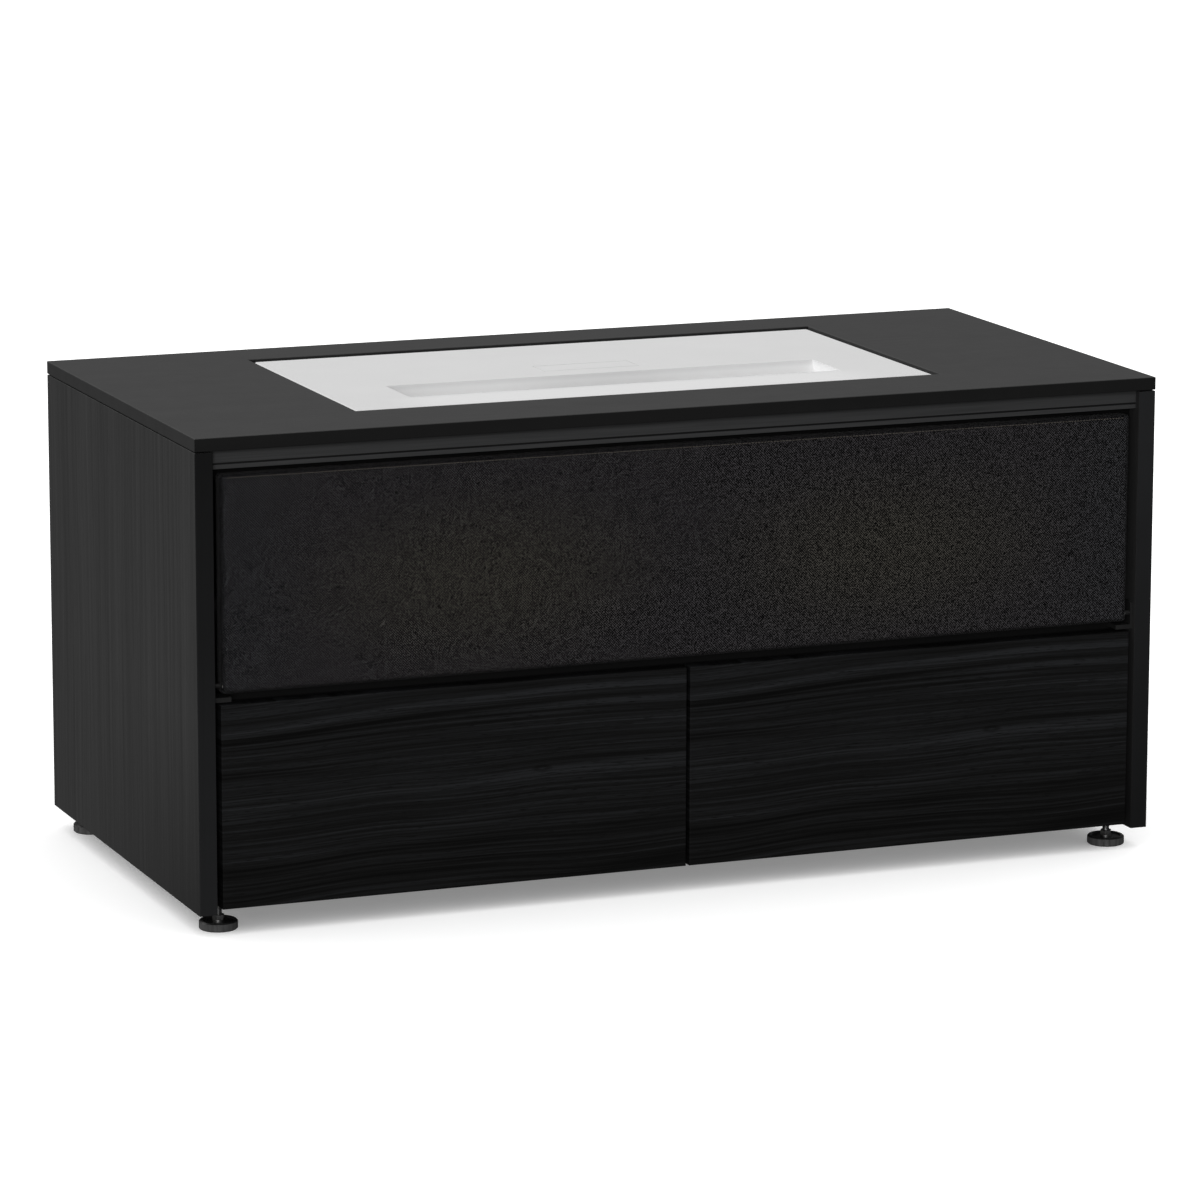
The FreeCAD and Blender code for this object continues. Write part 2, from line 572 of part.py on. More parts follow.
def cabinet_members():
    """The fixed rails of the right drawer's slides."""
    rails = []
    for wall, side in slide_sets():
        s = math.copysign(1, side - wall)
        rail = channel(wall, wall + s * 9.5, 22.8)
        hole = SLIDE_SCREW_R + FIT
        holes = [rod(hole, (wall - 5, y, SLIDE_Z), (wall + 5, y, SLIDE_Z)) for y in SLIDE_SCREW_Y]
        rails.append(cut(rail, holes))
    return rails


def middle_members():
    """The sliding rails between the fixed rails and the drawer's rails."""
    rails = []
    for wall, side in slide_sets():
        s = math.copysign(1, side - wall)
        rails.append(channel(wall + s * 2.4, wall + s * 10.5, 19.0))
    return rails


def drawer_members():
    """The rails on the drawer's sides."""
    rails = []
    for wall, side in slide_sets():
        s = math.copysign(1, side - wall)
        rails.append(channel(side, side - s * 8.3, 14.5))
    return rails


CAGE_T, CAGE_L, BALL_R, BALL_PITCH = 0.8, 110.0, 1.1, 10.0


def ball_cages():
    """Strips of balls that run along the middle rails, over their outer flanges."""
    cages = []
    for wall, side in slide_sets():
        s = math.copysign(1, side - wall)
        x = wall + s * 6.4
        y0 = SLIDE_Y0 + SLIDE_L - CAGE_L - 8
        for up in (1, -1):
            z = SLIDE_Z + up * 19.0
            strip = box(x - 2.6, x + 2.6, y0, y0 + CAGE_L, z, z + up * CAGE_T)
            for i in range(int(CAGE_L / BALL_PITCH)):
                y = y0 + BALL_PITCH * (i + 0.5)
                ball = Part.makeSphere(BALL_R, V(x, y, z + up * BALL_R))
                strip = strip.fuse(ball)
            cages.append(strip.removeSplitter())
    return cages


SLIDE_SCREW_R = 2.0
SLIDE_SCREW_Y = (SLIDE_Y0 + 36, SLIDE_Y0 + 228, SLIDE_Y0 + 404)


def slide_screw(side, y, grow=0.0):
    """A flush screw through a fixed rail: side 1 goes into the side panel, -1 into the divider."""
    if side > 0:
        start, end = INNER - SLIDE_SHEET, INNER + 12.0
    else:
        start, end = DIVIDER_X + SLIDE_SHEET, DIVIDER_X - 6.0
    if grow:
        end += math.copysign(0.5, side)
    return rod(SLIDE_SCREW_R + grow, (start, y, SLIDE_Z), (end, y, SLIDE_Z))


# ---------------------------------------------------------------- feet

INSERT_R, INSERT_FLANGE_R, INSERT_FLANGE_T = 6.0, 9.0, 1.5
BALL_END_R, BALL_END_Z = 6.3, 3.4
HEX_ACROSS, HEX_Z0, HEX_Z1 = 11.5, 10.1, 15.6


def foot_places():
    """The four feet by name."""
    return {"front_left": (-FOOT_X, FOOT_FRONT_Y), "front_right": (FOOT_X, FOOT_FRONT_Y),
            "back_left": (-FOOT_X, FOOT_BACK_Y), "back_right": (FOOT_X, FOOT_BACK_Y)}


def foot_inserts():
    """Threaded inserts in the bottom panel, one for each foot."""
    inserts = []
    for x, y in foot_places().values():
        body = rod(INSERT_R, (x, y, BOTTOM_Z), (x, y, FLOOR_TOP - 2))
        flange = rod(INSERT_FLANGE_R, (x, y, BOTTOM_Z - INSERT_FLANGE_T), (x, y, BOTTOM_Z))
        bore = rod(STEM_R + FIT, (x, y, 0), (x, y, FLOOR_TOP))
        inserts.append(body.fuse(flange).removeSplitter().cut(bore))
    return inserts


def foot_pad(x, y):
    """A round pad with a raised rim, dished top and a socket for the stem."""
    outline = [(0, 0), (PAD_R - 1.2, 0), (PAD_R, 1.2), (PAD_R, PAD_H - 1.4), (PAD_R - 1.4, PAD_H),
               (PAD_R - 4.0, PAD_H), (PAD_R - 5.2, PAD_H - 1.6), (0, PAD_H - 1.6)]
    wire = Part.makePolygon([V(r, 0, z) for r, z in outline + outline[:1]])
    pad = Part.Face(wire).revolve(V(0, 0, 0), V(0, 0, 1), 360)
    pad.translate(V(x, y, 0))
    return pad.cut(rod(BALL_END_R + 0.3, (x, y, BALL_END_Z - 0.3), (x, y, PAD_H + 1)))


def foot_stem(x, y):
    """A threaded stem with a hexagonal collar and a round end that turns in the pad."""
    stem = rod(STEM_R, (x, y, HEX_Z0), (x, y, STEM_TOP))
    end = rod(BALL_END_R, (x, y, BALL_END_Z), (x, y, HEX_Z0))
    collar = hexagon(HEX_ACROSS, (x, y, HEX_Z0), (0, 0, HEX_Z1 - HEX_Z0))
    return stem.fuse(end).fuse(collar).removeSplitter()


# ---------------------------------------------------------------- projector

UNIT_CORNER_R, UNIT_EDGE_R = 4.0, 1.2
EXIT_X, EXIT_Y0, EXIT_Y1 = 254.0, FRONT + 178.0, FRONT + 256.0
EXIT_FLOOR_X, EXIT_FLOOR_Y0, EXIT_FLOOR_Y1, EXIT_D = 250.0, FRONT + 183.0, FRONT + 231.0, 34.0
GLASS_X, GLASS_Y, GLASS_T = 80.0, 20.0, 2.5
GLASS_LEDGE, GLASS_SUNK = 3.0, 1.5
PLATE_X, PLATE_Y0, PLATE_Y1, PLATE_T, PLATE_GAP = 56.0, FRONT + 288.0, FRONT + 324.0, 1.6, 0.8
BUTTON_X, BUTTON_Z, BUTTON_R, BUTTON_OUT = 250.0, 448.0, 6.0, 1.4
UNIT_FLOOR = TRAY_TOP + UNIT_FOOT_H


def frustum(z0, x0, ya0, yb0, z1, x1, ya1, yb1):
    """A solid between a rectangle at z0 and a rectangle at z1, both centred on the YZ plane."""
    loops = []
    for z, x, ya, yb in ((z0, x0, ya0, yb0), (z1, x1, ya1, yb1)):
        loops.append(Part.makePolygon([V(-x, ya, z), V(x, ya, z), V(x, yb, z), V(-x, yb, z), V(-x, ya, z)]))
    return Part.makeLoft(loops, True, True)


def light_well(grow):
    """The sunk light exit, or its outer skin when grow is a wall thickness."""
    floor = UNIT_TOP - EXIT_D - grow
    return frustum(floor, EXIT_FLOOR_X + grow, EXIT_FLOOR_Y0 - grow, EXIT_FLOOR_Y1 + grow,
                   UNIT_TOP + (0 if grow else 0.01), EXIT_X + grow, EXIT_Y0 - grow, EXIT_Y1 + grow)


def unit_block(z0, z1, inset=0.0):
    """The projector's outline between two heights, with rounded upright corners."""
    block = box(-UNIT_X + inset, UNIT_X - inset, UNIT_FRONT + inset, UNIT_BACK - inset, z0, z1)
    return rounded(block, UNIT_CORNER_R - inset, lambda a, b: abs(a.z - b.z) > 1)


def projector_upper_case():
    """The white upper shell, with the sunk light exit and a shallow seat for the control plate."""
    shell = unit_block(UNIT_SEAM, UNIT_TOP)
    shell = shell.makeFillet(UNIT_EDGE_R, [e for e in shell.Edges if e.BoundBox.ZMin > UNIT_TOP - 0.1])
    shell = shell.cut(unit_block(UNIT_SEAM - 1, UNIT_TOP - UNIT_WALL, UNIT_WALL))
    shell = shell.fuse(light_well(UNIT_WALL)).cut(light_well(0))
    floor = UNIT_TOP - EXIT_D
    window = glass_block(-GLASS_LEDGE, floor - UNIT_WALL - 1, floor + 1)
    seat = glass_block(FIT, floor - GLASS_SUNK, floor + 1)
    x, y0, y1 = PLATE_X + PLATE_GAP, PLATE_Y0 - PLATE_GAP, PLATE_Y1 + PLATE_GAP
    plate = box(-x, x, y0, y1, UNIT_TOP - PLATE_T, UNIT_TOP + 1)
    return cut(shell, [window, seat, plate])


def glass_block(grow, z0, z1):
    """A block over the exit glass's place, larger by grow on each side."""
    mid = (EXIT_FLOOR_Y0 + EXIT_FLOOR_Y1) / 2
    x, y = GLASS_X + grow, GLASS_Y + grow
    return box(-x, x, mid - y, mid + y, z0, z1)


def projector_exit_glass():
    """The glass in the floor of the light exit."""
    z0 = UNIT_TOP - EXIT_D - GLASS_SUNK
    return rounded(glass_block(0, z0, z0 + GLASS_T), 3.0, lambda a, b: abs(a.z - b.z) > 1)


def projector_control_plate():
    """The small flush plate behind the light exit."""
    plate = box(-PLATE_X, PLATE_X, PLATE_Y0, PLATE_Y1, UNIT_TOP - PLATE_T, UNIT_TOP)
    return rounded(plate, 1.5, lambda a, b: abs(a.z - b.z) > 1)


SIDE_VENTS, SIDE_VENT_PITCH, SIDE_VENT_W, SIDE_VENT_H, SIDE_VENT_Z = 16, 16.0, 7.0, 34.0, 428.0
PORT_X, PORT_Z0, PORT_Z1, PORT_T = 150.0, 424.0, 452.0, 2.0
SOCKETS = [(-118.0, 24.0, 16.0), (-50.0, 15.0, 5.6), (0.0, 15.0, 5.6), (60.0, 14.0, 11.0)]
SOCKET_D = 9.0


def projector_lower_case():
    """The lower shell, with side vents, a seat for the sockets and a hole for the power button."""
    shell = unit_block(UNIT_FLOOR, UNIT_SEAM)
    shell = shell.cut(unit_block(UNIT_FLOOR + UNIT_WALL, UNIT_SEAM + 1, UNIT_WALL))
    tools = []
    mid = (UNIT_FRONT + UNIT_BACK) / 2
    for i in range(SIDE_VENTS):
        y0 = mid + (i - (SIDE_VENTS - 1) / 2) * SIDE_VENT_PITCH - SIDE_VENT_W / 2
        z1 = SIDE_VENT_Z + SIDE_VENT_H
        tools += both(box(UNIT_X - 8, UNIT_X + 1, y0, y0 + SIDE_VENT_W, SIDE_VENT_Z, z1))
    tools.append(box(-PORT_X, PORT_X, UNIT_BACK - UNIT_WALL - 1, UNIT_BACK + 1, PORT_Z0, PORT_Z1))
    start, end = (BUTTON_X, UNIT_BACK - 8, BUTTON_Z), (BUTTON_X, UNIT_BACK + 1, BUTTON_Z)
    tools.append(rod(BUTTON_R + 0.4, start, end))
    return cut(shell, tools)


def projector_port_panel():
    """The rear socket panel: a mains inlet, two data sockets and a network socket."""
    face = UNIT_BACK - 0.6
    panel = box(-PORT_X, PORT_X, face - PORT_T, face, PORT_Z0, PORT_Z1)
    back = box(-PORT_X + 4, PORT_X - 4, face - 12, face - PORT_T, PORT_Z0 + 2, PORT_Z1 - 2)
    panel = panel.fuse(back).removeSplitter()
    mid = (PORT_Z0 + PORT_Z1) / 2
    tools = [box(x - w / 2, x + w / 2, face - SOCKET_D, face + 1, mid - h / 2, mid + h / 2)
             for x, w, h in SOCKETS]
    return cut(panel, tools)


def projector_power_button():
    """The round button in the back of the lower case, with a collar inside."""
    cap = rod(BUTTON_R, (BUTTON_X, UNIT_BACK - 6, BUTTON_Z), (BUTTON_X, UNIT_BACK + BUTTON_OUT, BUTTON_Z))
    cap = cap.makeFillet(0.8, [e for e in cap.Edges if e.BoundBox.YMin > UNIT_BACK + BUTTON_OUT - 0.1])
    collar = rod(BUTTON_R + 1.5, (BUTTON_X, UNIT_BACK - 7, BUTTON_Z), (BUTTON_X, UNIT_BACK - 5, BUTTON_Z))
    return cap.fuse(collar).removeSplitter()


def projector_feet():
    """Rubber feet pressed onto the lower case."""
    feet = []
    for s in (-1, 1):
        for y in (UNIT_FRONT + 40, UNIT_BACK - 40):
            foot = rod(12.0, (s * 290.0, y, TRAY_TOP), (s * 290.0, y, UNIT_FLOOR))
            feet.append(foot.makeFillet(1.5, [e for e in foot.Edges if e.BoundBox.ZMax < TRAY_TOP + 0.1]))
    return feet


MIRROR_R, MIRROR_W, MIRROR_H = 130.0, 124.0, 46.0


def projector_mirror():
    """A dished mirror under the front of the light exit that throws the picture up and back."""
    front = EXIT_FLOOR_Y0 - 8
    z = UNIT_TOP - EXIT_D - 32
    centre = V(0, front + MIRROR_R - 6, z + 24)
    dish = Part.makeSphere(MIRROR_R, centre).cut(Part.makeSphere(MIRROR_R - 4, centre))
    x, rise = MIRROR_W / 2, MIRROR_H / 2
    return dish.common(box(-x, x, front - 20, front + 34, z - rise, z + rise))


def projector_lens():
    """The stepped lens barrel that fires forward at the mirror, with a foot that holds it on the floor."""
    z = UNIT_TOP - EXIT_D - 38
    y0 = EXIT_FLOOR_Y1 + 14
    barrel = rod(19.0, (0, y0, z), (0, y0 + 26, z)).fuse(rod(25.0, (0, y0 + 26, z), (0, y0 + 96, z)))
    barrel = barrel.cut(rod(15.0, (0, y0 - 1, z), (0, y0 + 6, z)))
    foot = box(-22, 22, y0 + 36, y0 + 90, UNIT_FLOOR + UNIT_WALL, z - 15)
    return barrel.fuse(foot).removeSplitter()


# ---------------------------------------------------------------- every node

def save_carcass():
    """Boards, rails, rear panels and the fasteners that never move."""
    save("top_panel", top_panel())
    save("top_gaskets", *top_gaskets())
    save("side_panel_right", side_panel())
    save("side_panel_left", mirrored(side_panel()))
    rear = [rear_screw_hole(x, z) for x, z in rear_screw_places()]
    save("bottom_panel", cut(bottom_panel(), rear))
    save("middle_shelf", cut(middle_shelf(), rear))
    save("centre_divider", centre_divider())
    save("rear_panel_lower", rear_panel(BOTTOM_Z + 1, REAR_SPLIT - 0.75))
    save("rear_panel_upper", rear_panel(REAR_SPLIT + 0.75, TOP_UNDER - 2))
    save("rear_panel_screws", *rear_panel_screws())
    save("cable_grommets", *cable_grommets())
    save("front_rail", front_rail())
    save("door_seal", door_seal())
    save("rear_rail", rear_rail())
    save("cross_rails", *cross_rails())
    save("top_screws", *[top_screw(x, y) for x, y in TOP_SCREWS])
    save("projector_tray", projector_tray())
    save("tray_hangers", *tray_hangers())
    save("hanger_bolts", *hanger_bolts())
    save("cam_bolts", *[b for z, y in CAM_ROWS for b in both(cam_bolt(z, y))])
    save("cam_locks", *[b for z, y in CAM_ROWS for b in both(cam_lock(z, y))])
    save("foot_inserts", *foot_inserts())
    save("pivot_brackets", *pivot_brackets())
    save("catch_housings", *catch_housings())
    save("catch_magnets", *both(magnet()))


def save_door():
    """The drop-down grille."""
    save("grille_frame", grille_frame())
    save("grille_cloth", grille_cloth())
    save("cloth_spline", spline_ring())
    save("pivot_bushings", *pivot_bushings())
    save("strike_plates", *strike_plates())


def save_drawers():
    """Both drawers and their slides; the left is the right's mirror image."""
    save("slide_cabinet_members", *[b for rail in cabinet_members() for b in both(rail)])
    screws = [slide_screw(side, y) for side in (1, -1) for y in SLIDE_SCREW_Y]
    save("slide_screws", *[b for screw in screws for b in both(screw)])
    for hand, place in (("right", lambda s: s), ("left", mirrored)):
        save("drawer_" + hand + "_front", place(drawer_front()))
        save("drawer_" + hand + "_box", *[place(b) for b in drawer_box()])
        save("drawer_" + hand + "_bottom", place(drawer_bottom()))
        save("drawer_" + hand + "_runners", *[place(b) for b in drawer_members()])
        save("slide_" + hand + "_middle", *[place(b) for b in middle_members()])
        save("slide_" + hand + "_ball_cages", *[place(b) for b in ball_cages()])


def save_feet():
    """A pad and a stem at each corner."""
    for name, (x, y) in foot_places().items():
        save("foot_" + name + "_pad", foot_pad(x, y))
        save("foot_" + name + "_stem", foot_stem(x, y))


def save_projector():
    """The projector and what shows through its glass."""
    save("projector_upper_case", projector_upper_case())
    save("projector_lower_case", projector_lower_case())
    save("projector_exit_glass", projector_exit_glass())
    save("projector_control_plate", projector_control_plate())
    save("projector_port_panel", projector_port_panel())
    save("projector_power_button", projector_power_button())
    save("projector_feet", *projector_feet())
    save("projector_mirror", projector_mirror())
    save("projector_lens", projector_lens())


def main():
    os.makedirs("parts", exist_ok=True)
    save_carcass()
    save_door()
    save_drawers()
    save_feet()
    save_projector()


main()
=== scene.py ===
"""Looks of the media cabinet: cloth, veneers, laminate, metals and plastics, floor, light and camera."""

import math
import random

import bpy
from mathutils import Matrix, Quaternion, Vector


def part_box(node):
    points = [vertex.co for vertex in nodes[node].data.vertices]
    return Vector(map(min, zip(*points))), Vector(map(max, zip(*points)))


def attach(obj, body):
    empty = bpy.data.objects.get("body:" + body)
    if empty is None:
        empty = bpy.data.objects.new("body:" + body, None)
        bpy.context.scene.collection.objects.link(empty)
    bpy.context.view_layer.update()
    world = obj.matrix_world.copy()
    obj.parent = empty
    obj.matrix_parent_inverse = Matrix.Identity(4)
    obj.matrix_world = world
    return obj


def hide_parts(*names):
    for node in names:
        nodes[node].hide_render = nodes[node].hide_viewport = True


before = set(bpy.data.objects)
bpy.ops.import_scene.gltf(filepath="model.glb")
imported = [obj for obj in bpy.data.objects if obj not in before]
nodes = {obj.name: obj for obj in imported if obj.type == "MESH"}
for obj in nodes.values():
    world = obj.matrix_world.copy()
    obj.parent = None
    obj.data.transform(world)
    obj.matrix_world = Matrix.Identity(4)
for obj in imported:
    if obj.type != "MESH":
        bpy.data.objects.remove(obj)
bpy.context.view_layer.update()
MM = 0.001


# ---------------------------------------------------------------- shader building

class Shader:
    """A procedural material round one Principled shader, built by short calls that return sockets."""

    def __init__(self, name, base=(0.5, 0.5, 0.5), roughness=0.5, metallic=0.0, specular=0.5, **more):
        self.material = bpy.data.materials.new(name)
        self.material.use_nodes = True
        self.tree = self.material.node_tree
        self.bsdf = self.tree.nodes["Principled BSDF"]
        self.put("Base Color", (*base, 1.0))
        self.put("Roughness", roughness)
        self.put("Metallic", metallic)
        self.put("Specular IOR Level", specular)
        for key, value in more.items():
            self.put(key.replace("_", " "), value)

    def put(self, socket, value):
        """Sets or links one socket of the main shader."""
        self.feed(self.bsdf.inputs[socket], value)

    def feed(self, socket, value):
        """Sets a socket to a number or colour, or links another socket to it."""
        if isinstance(value, bpy.types.NodeSocket):
            self.tree.links.new(value, socket)
        else:
            socket.default_value = value

    def add(self, kind, *inputs, **settings):
        """Adds a node with its settings and its first inputs in order; None skips one."""
        node = self.tree.nodes.new("ShaderNode" + kind)
        for key, value in settings.items():
            setattr(node, key, value)
        for socket, value in zip(node.inputs, inputs):
            if value is not None:
                self.feed(socket, value)
        return node

    def place(self, scale=(1, 1, 1), offset=(0, 0, 0)):
        """The piece's own coordinates in metres, scaled and moved."""
        where = self.add("TexCoord").outputs["Object"]
        return self.add("Mapping", where, offset, None, scale).outputs[0]

    def noise(self, vector, scale=1.0, detail=4.0, rough=0.55, warp=0.0):
        """A noise value from 0 to 1."""
        node = self.add("TexNoise")
        for key, value in (("Vector", vector), ("Scale", scale), ("Detail", detail), ("Roughness", rough),
                           ("Distortion", warp)):
            self.feed(node.inputs[key], value)
        return node.outputs["Fac"]

    def cells(self, vector, scale):
        """The distance field of a cell pattern."""
        node = self.add("TexVoronoi")
        self.feed(node.inputs["Vector"], vector)
        node.inputs["Scale"].default_value = scale
        return node.outputs["Distance"]

    def math(self, operation, a, b=0.0, c=0.0):
        """One arithmetic step."""
        return self.add("Math", a, b, c, operation=operation).outputs[0]

    def span(self, value, low, high, to_low=0.0, to_high=1.0, smooth=False):
        """Maps a value's span onto another, clamped at its ends."""
        kind = "SMOOTHSTEP" if smooth else "LINEAR"
        node = self.add("MapRange", value, low, high, to_low, to_high, interpolation_type=kind)
        return node.outputs[0]

    def ramp(self, value, *stops):
        """A colour ramp with (position, colour) stops."""
        node = self.add("ValToRGB", value)
        line = node.color_ramp.elements
        while len(line) < len(stops):
            line.new(0.5)
        for element, (position, colour) in zip(line, stops):
            element.position = position
            element.color = (*colour, 1.0)
        return node.outputs[0]

    def blend(self, factor, a, b, kind="MIX"):
        """Mixes two colours."""
        node = self.add("Mix", data_type="RGBA", blend_type=kind)
        for socket, value in ((node.inputs[0], factor), (node.inputs[6], a), (node.inputs[7], b)):
            if isinstance(value, tuple):
                value = (*value, 1.0)
            self.feed(socket, value)
        return node.outputs[2]

    def facing(self, axis, sign):
        """1 where the surface faces along an axis of the piece, 0 elsewhere."""
        normal = self.add("TexCoord").outputs["Normal"]
        part = self.add("SeparateXYZ", normal).outputs[axis]
        return self.math("GREATER_THAN", self.math("MULTIPLY", part, sign), 0.5)

    def bump(self, height, distance, strength=1.0):
        """Raises the surface by a height field, in metres."""
        node = self.add("Bump")
        for key, value in (("Height", height), ("Distance", distance), ("Strength", strength)):
            self.feed(node.inputs[key], value)
        self.put("Normal", node.outputs[0])
        return node

    def soften_edges(self, bump, radius):
        """Rounds the look of sharp edges under a bump."""
        node = self.add("Bevel", radius, samples=4)
        self.feed(bump.inputs["Normal"], node.outputs[0])


TOP_TONE, BAND_TONE, END_PAINTED_LIGHT_TONE = 0.043, 0.014, 0.040
SIDE_TONE, EDGE_TONE, DRAWER_TONE = 0.047, 0.021, 0.0135
BOARD_TONE, RAIL_TONE, THREAD_TONE, CASE_TONE, PAD_RIM_HIGHLIGHT_TONE = 0.020, 0.080, 0.125, 0.80, 0.12


def grey(value, blue=0.0):
    """A neutral colour, a little cooler for a positive blue."""
    return (value * (1 - blue), value, value * (1 + 2 * blue))


# ---------------------------------------------------------------- materials

def laminate():
    """Satin black laminate with a very faint grain, and a plain band on its edges; the left end's band is
    painted lighter than the others, lit and shaded copies of one band.
    """
    m = Shader("black_laminate", roughness=0.5, specular=0.3)
    grain = m.noise(m.place((3, 90, 90)), 1.0, 6.0, 0.6)
    mottle = m.noise(m.place(), 40.0, 3.0)
    tone = m.math("ADD", m.math("MULTIPLY", grain, 0.6), m.math("MULTIPLY", mottle, 0.4))
    top = m.ramp(tone, (0.25, grey(TOP_TONE * 0.88)), (0.75, grey(TOP_TONE * 1.12)))
    band = m.ramp(mottle, (0.2, grey(BAND_TONE * 0.92)), (0.8, grey(BAND_TONE * 1.08)))
    # painted light: the left end's band is painted far lighter than the band on the other edges
    end = m.ramp(mottle, (0.2, grey(END_PAINTED_LIGHT_TONE * 0.92)), (0.8, grey(END_PAINTED_LIGHT_TONE * 1.08)))
    m.put("Base Color", m.blend(m.facing(2, 1), m.blend(m.facing(0, -1), band, end), top))
    m.put("Roughness", m.span(grain, 0.2, 0.8, 0.46, 0.56))
    fine = m.noise(m.place(), 1500.0, 2.0)
    bump = m.bump(m.math("ADD", fine, m.math("MULTIPLY", grain, 1.5)), 0.00006, 0.5)
    m.soften_edges(bump, 0.0008)
    return m.material


def side_veneer():
    """Black-stained veneer with upright grain and painted shade toward the bottom front, and smooth edge
    bands with painted light and shade that change slowly along their length.
    """
    m = Shader("side_veneer", roughness=0.55, specular=0.3)
    drift = m.noise(m.place((3, 4, 1.2)), 1.0, 2.0)
    where = m.place((160, 160, 2.2))
    sway = m.add("CombineXYZ", 0.0, m.math("MULTIPLY", drift, 9.0), 0.0).outputs[0]
    bent = m.add("VectorMath", where, sway, operation="ADD").outputs[0]
    streaks = m.noise(bent, 1.0, 6.0, 0.65)
    pores = m.noise(m.place((1400, 1400, 26)), 1.0, 2.0)
    broad = m.noise(m.place((2, 22, 0.6)), 1.0, 3.0)
    tone = m.math("ADD", m.math("MULTIPLY", streaks, 0.7), m.math("MULTIPLY", broad, 0.3))
    face = m.ramp(tone, (0.34, grey(SIDE_TONE * 0.78)), (0.5, grey(SIDE_TONE)),
                  (0.66, grey(SIDE_TONE * 1.25)))
    face = m.blend(m.span(pores, 0.58, 0.74), face, grey(SIDE_TONE * 0.6))
    parts = m.add("SeparateXYZ", m.place()).outputs
    # painted shade: the faces darken toward the bottom front corner
    low = m.math("MULTIPLY", m.span(parts[2], 0.02, 0.24, 1.0, 0.0), m.span(parts[1], -0.27, 0.15, 1.0, 0.15))
    face = m.blend(m.math("MULTIPLY", low, 0.85), face, grey(SIDE_TONE * 0.4))
    # painted light and shade on the edge bands: the left band lighter low down, the right band lighter high
    # up
    rise = m.span(parts[2], 0.05, 0.50)
    left = m.span(rise, 0.0, 1.0, 1.30, 0.35)
    right = m.span(rise, 0.0, 1.0, 0.55, 1.40)
    right_side = m.math("GREATER_THAN", parts[0], 0.0)
    share = m.math("ADD", left, m.math("MULTIPLY", right_side, m.math("SUBTRACT", right, left)))
    band_painted_light = m.math("MULTIPLY", share, m.span(m.noise(m.place((6, 6, 9)), 1.0, 3.0), 0.3, 0.7, 0.9, 1.1))
    band = m.blend(1.0, grey(EDGE_TONE, 0.03), m.add("CombineColor", band_painted_light, band_painted_light, band_painted_light).outputs[0], "MULTIPLY")
    m.put("Base Color", m.blend(m.facing(1, -1), face, band))
    m.put("Roughness", m.span(streaks, 0.3, 0.7, 0.50, 0.62))
    bump = m.bump(m.math("SUBTRACT", streaks, m.math("MULTIPLY", pores, 0.6)), 0.00012, 0.6)
    m.soften_edges(bump, 0.0007)
    return m.material


def drawer_veneer(side):
    """Black-stained veneer with level grain that lifts in a slow wave, and painted shade along the bottom;
    both fronts share one figure.
    """
    low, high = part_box("drawer_" + side + "_front")
    m = Shader("drawer_veneer_" + side, roughness=0.55, specular=0.18)
    parts = m.add("SeparateXYZ", m.place((1, 1, 1), (-low.x, 0, -low.z)))
    along, up = parts.outputs[0], parts.outputs[2]
    rise = m.span(along, 0.0, 0.20, 0.0, 0.009, smooth=True)
    swell = m.math("SUBTRACT", m.noise(m.place((3.5, 1, 9), (-low.x * 3.5, 0, -low.z * 9)), 1.0, 1.0), 0.5)
    level = m.math("ADD", m.math("SUBTRACT", up, rise), m.math("MULTIPLY", swell, 0.017))

    def streak(stretch, pitch, detail, seed):
        spot = m.add("CombineXYZ", m.math("MULTIPLY", along, stretch), seed, m.math("MULTIPLY", level, pitch))
        return m.noise(spot.outputs[0], 1.0, detail, 0.6)

    def near(value, centre, reach, amount):
        gap = m.math("ABSOLUTE", m.math("SUBTRACT", value, centre))
        closeness = m.span(m.math("DIVIDE", gap, reach), 0.0, 1.0, 1.0, 0.0, smooth=True)
        return m.math("MULTIPLY", closeness, amount)

    broad = streak(0.9, 26.0, 2.0, 3.1)
    bands = streak(2.2, 95.0, 4.0, 7.7)
    lines = streak(3.0, 420.0, 3.0, 1.3)
    pores = streak(60.0, 1500.0, 1.0, 5.5)
    tone = m.math("ADD", m.math("MULTIPLY", broad, 0.24), m.math("MULTIPLY", bands, 0.22))
    tone = m.math("ADD", tone, m.math("MULTIPLY", lines, 0.54))
    waist = m.span(along, 0.0, 0.45, 0.026, 0.012)
    tone = m.math("ADD", tone, near(level, 0.104, waist, 0.085))
    crest = m.math("SUBTRACT", level, m.math("MULTIPLY", along, 0.028))
    tone = m.math("ADD", tone, near(crest, 0.186, 0.007, 0.12))
    tone = m.math("SUBTRACT", tone, near(crest, 0.175, 0.004, 0.10))
    # painted shade: darker towards the bottom of the fronts
    tone = m.math("SUBTRACT", tone, m.span(level, 0.035, 0.085, 0.05, 0.0))
    off_x = m.math("DIVIDE", m.math("SUBTRACT", along, 0.36), 0.013)
    off_z = m.math("DIVIDE", m.math("SUBTRACT", up, 0.123), 0.004)
    knot = m.math("SQRT", m.math("ADD", m.math("MULTIPLY", off_x, off_x), m.math("MULTIPLY", off_z, off_z)))
    tone = m.math("SUBTRACT", tone, near(knot, 0.55, 0.55, 0.09))
    k = DRAWER_TONE
    wood = m.ramp(tone, (0.37, grey(0.12 * k)), (0.46, grey(0.70 * k)), (0.54, grey(1.35 * k, 0.03)),
                  (0.65, grey(2.8 * k, 0.04)))
    wood = m.blend(m.span(pores, 0.60, 0.72), wood, grey(0.35 * k))
    m.put("Base Color", wood)
    m.put("Roughness", m.span(tone, 0.35, 0.7, 0.62, 0.48))
    bump = m.bump(m.math("SUBTRACT", lines, m.math("MULTIPLY", pores, 0.8)), 0.00012, 0.6)
    m.soften_edges(bump, 0.0007)
    return m.material


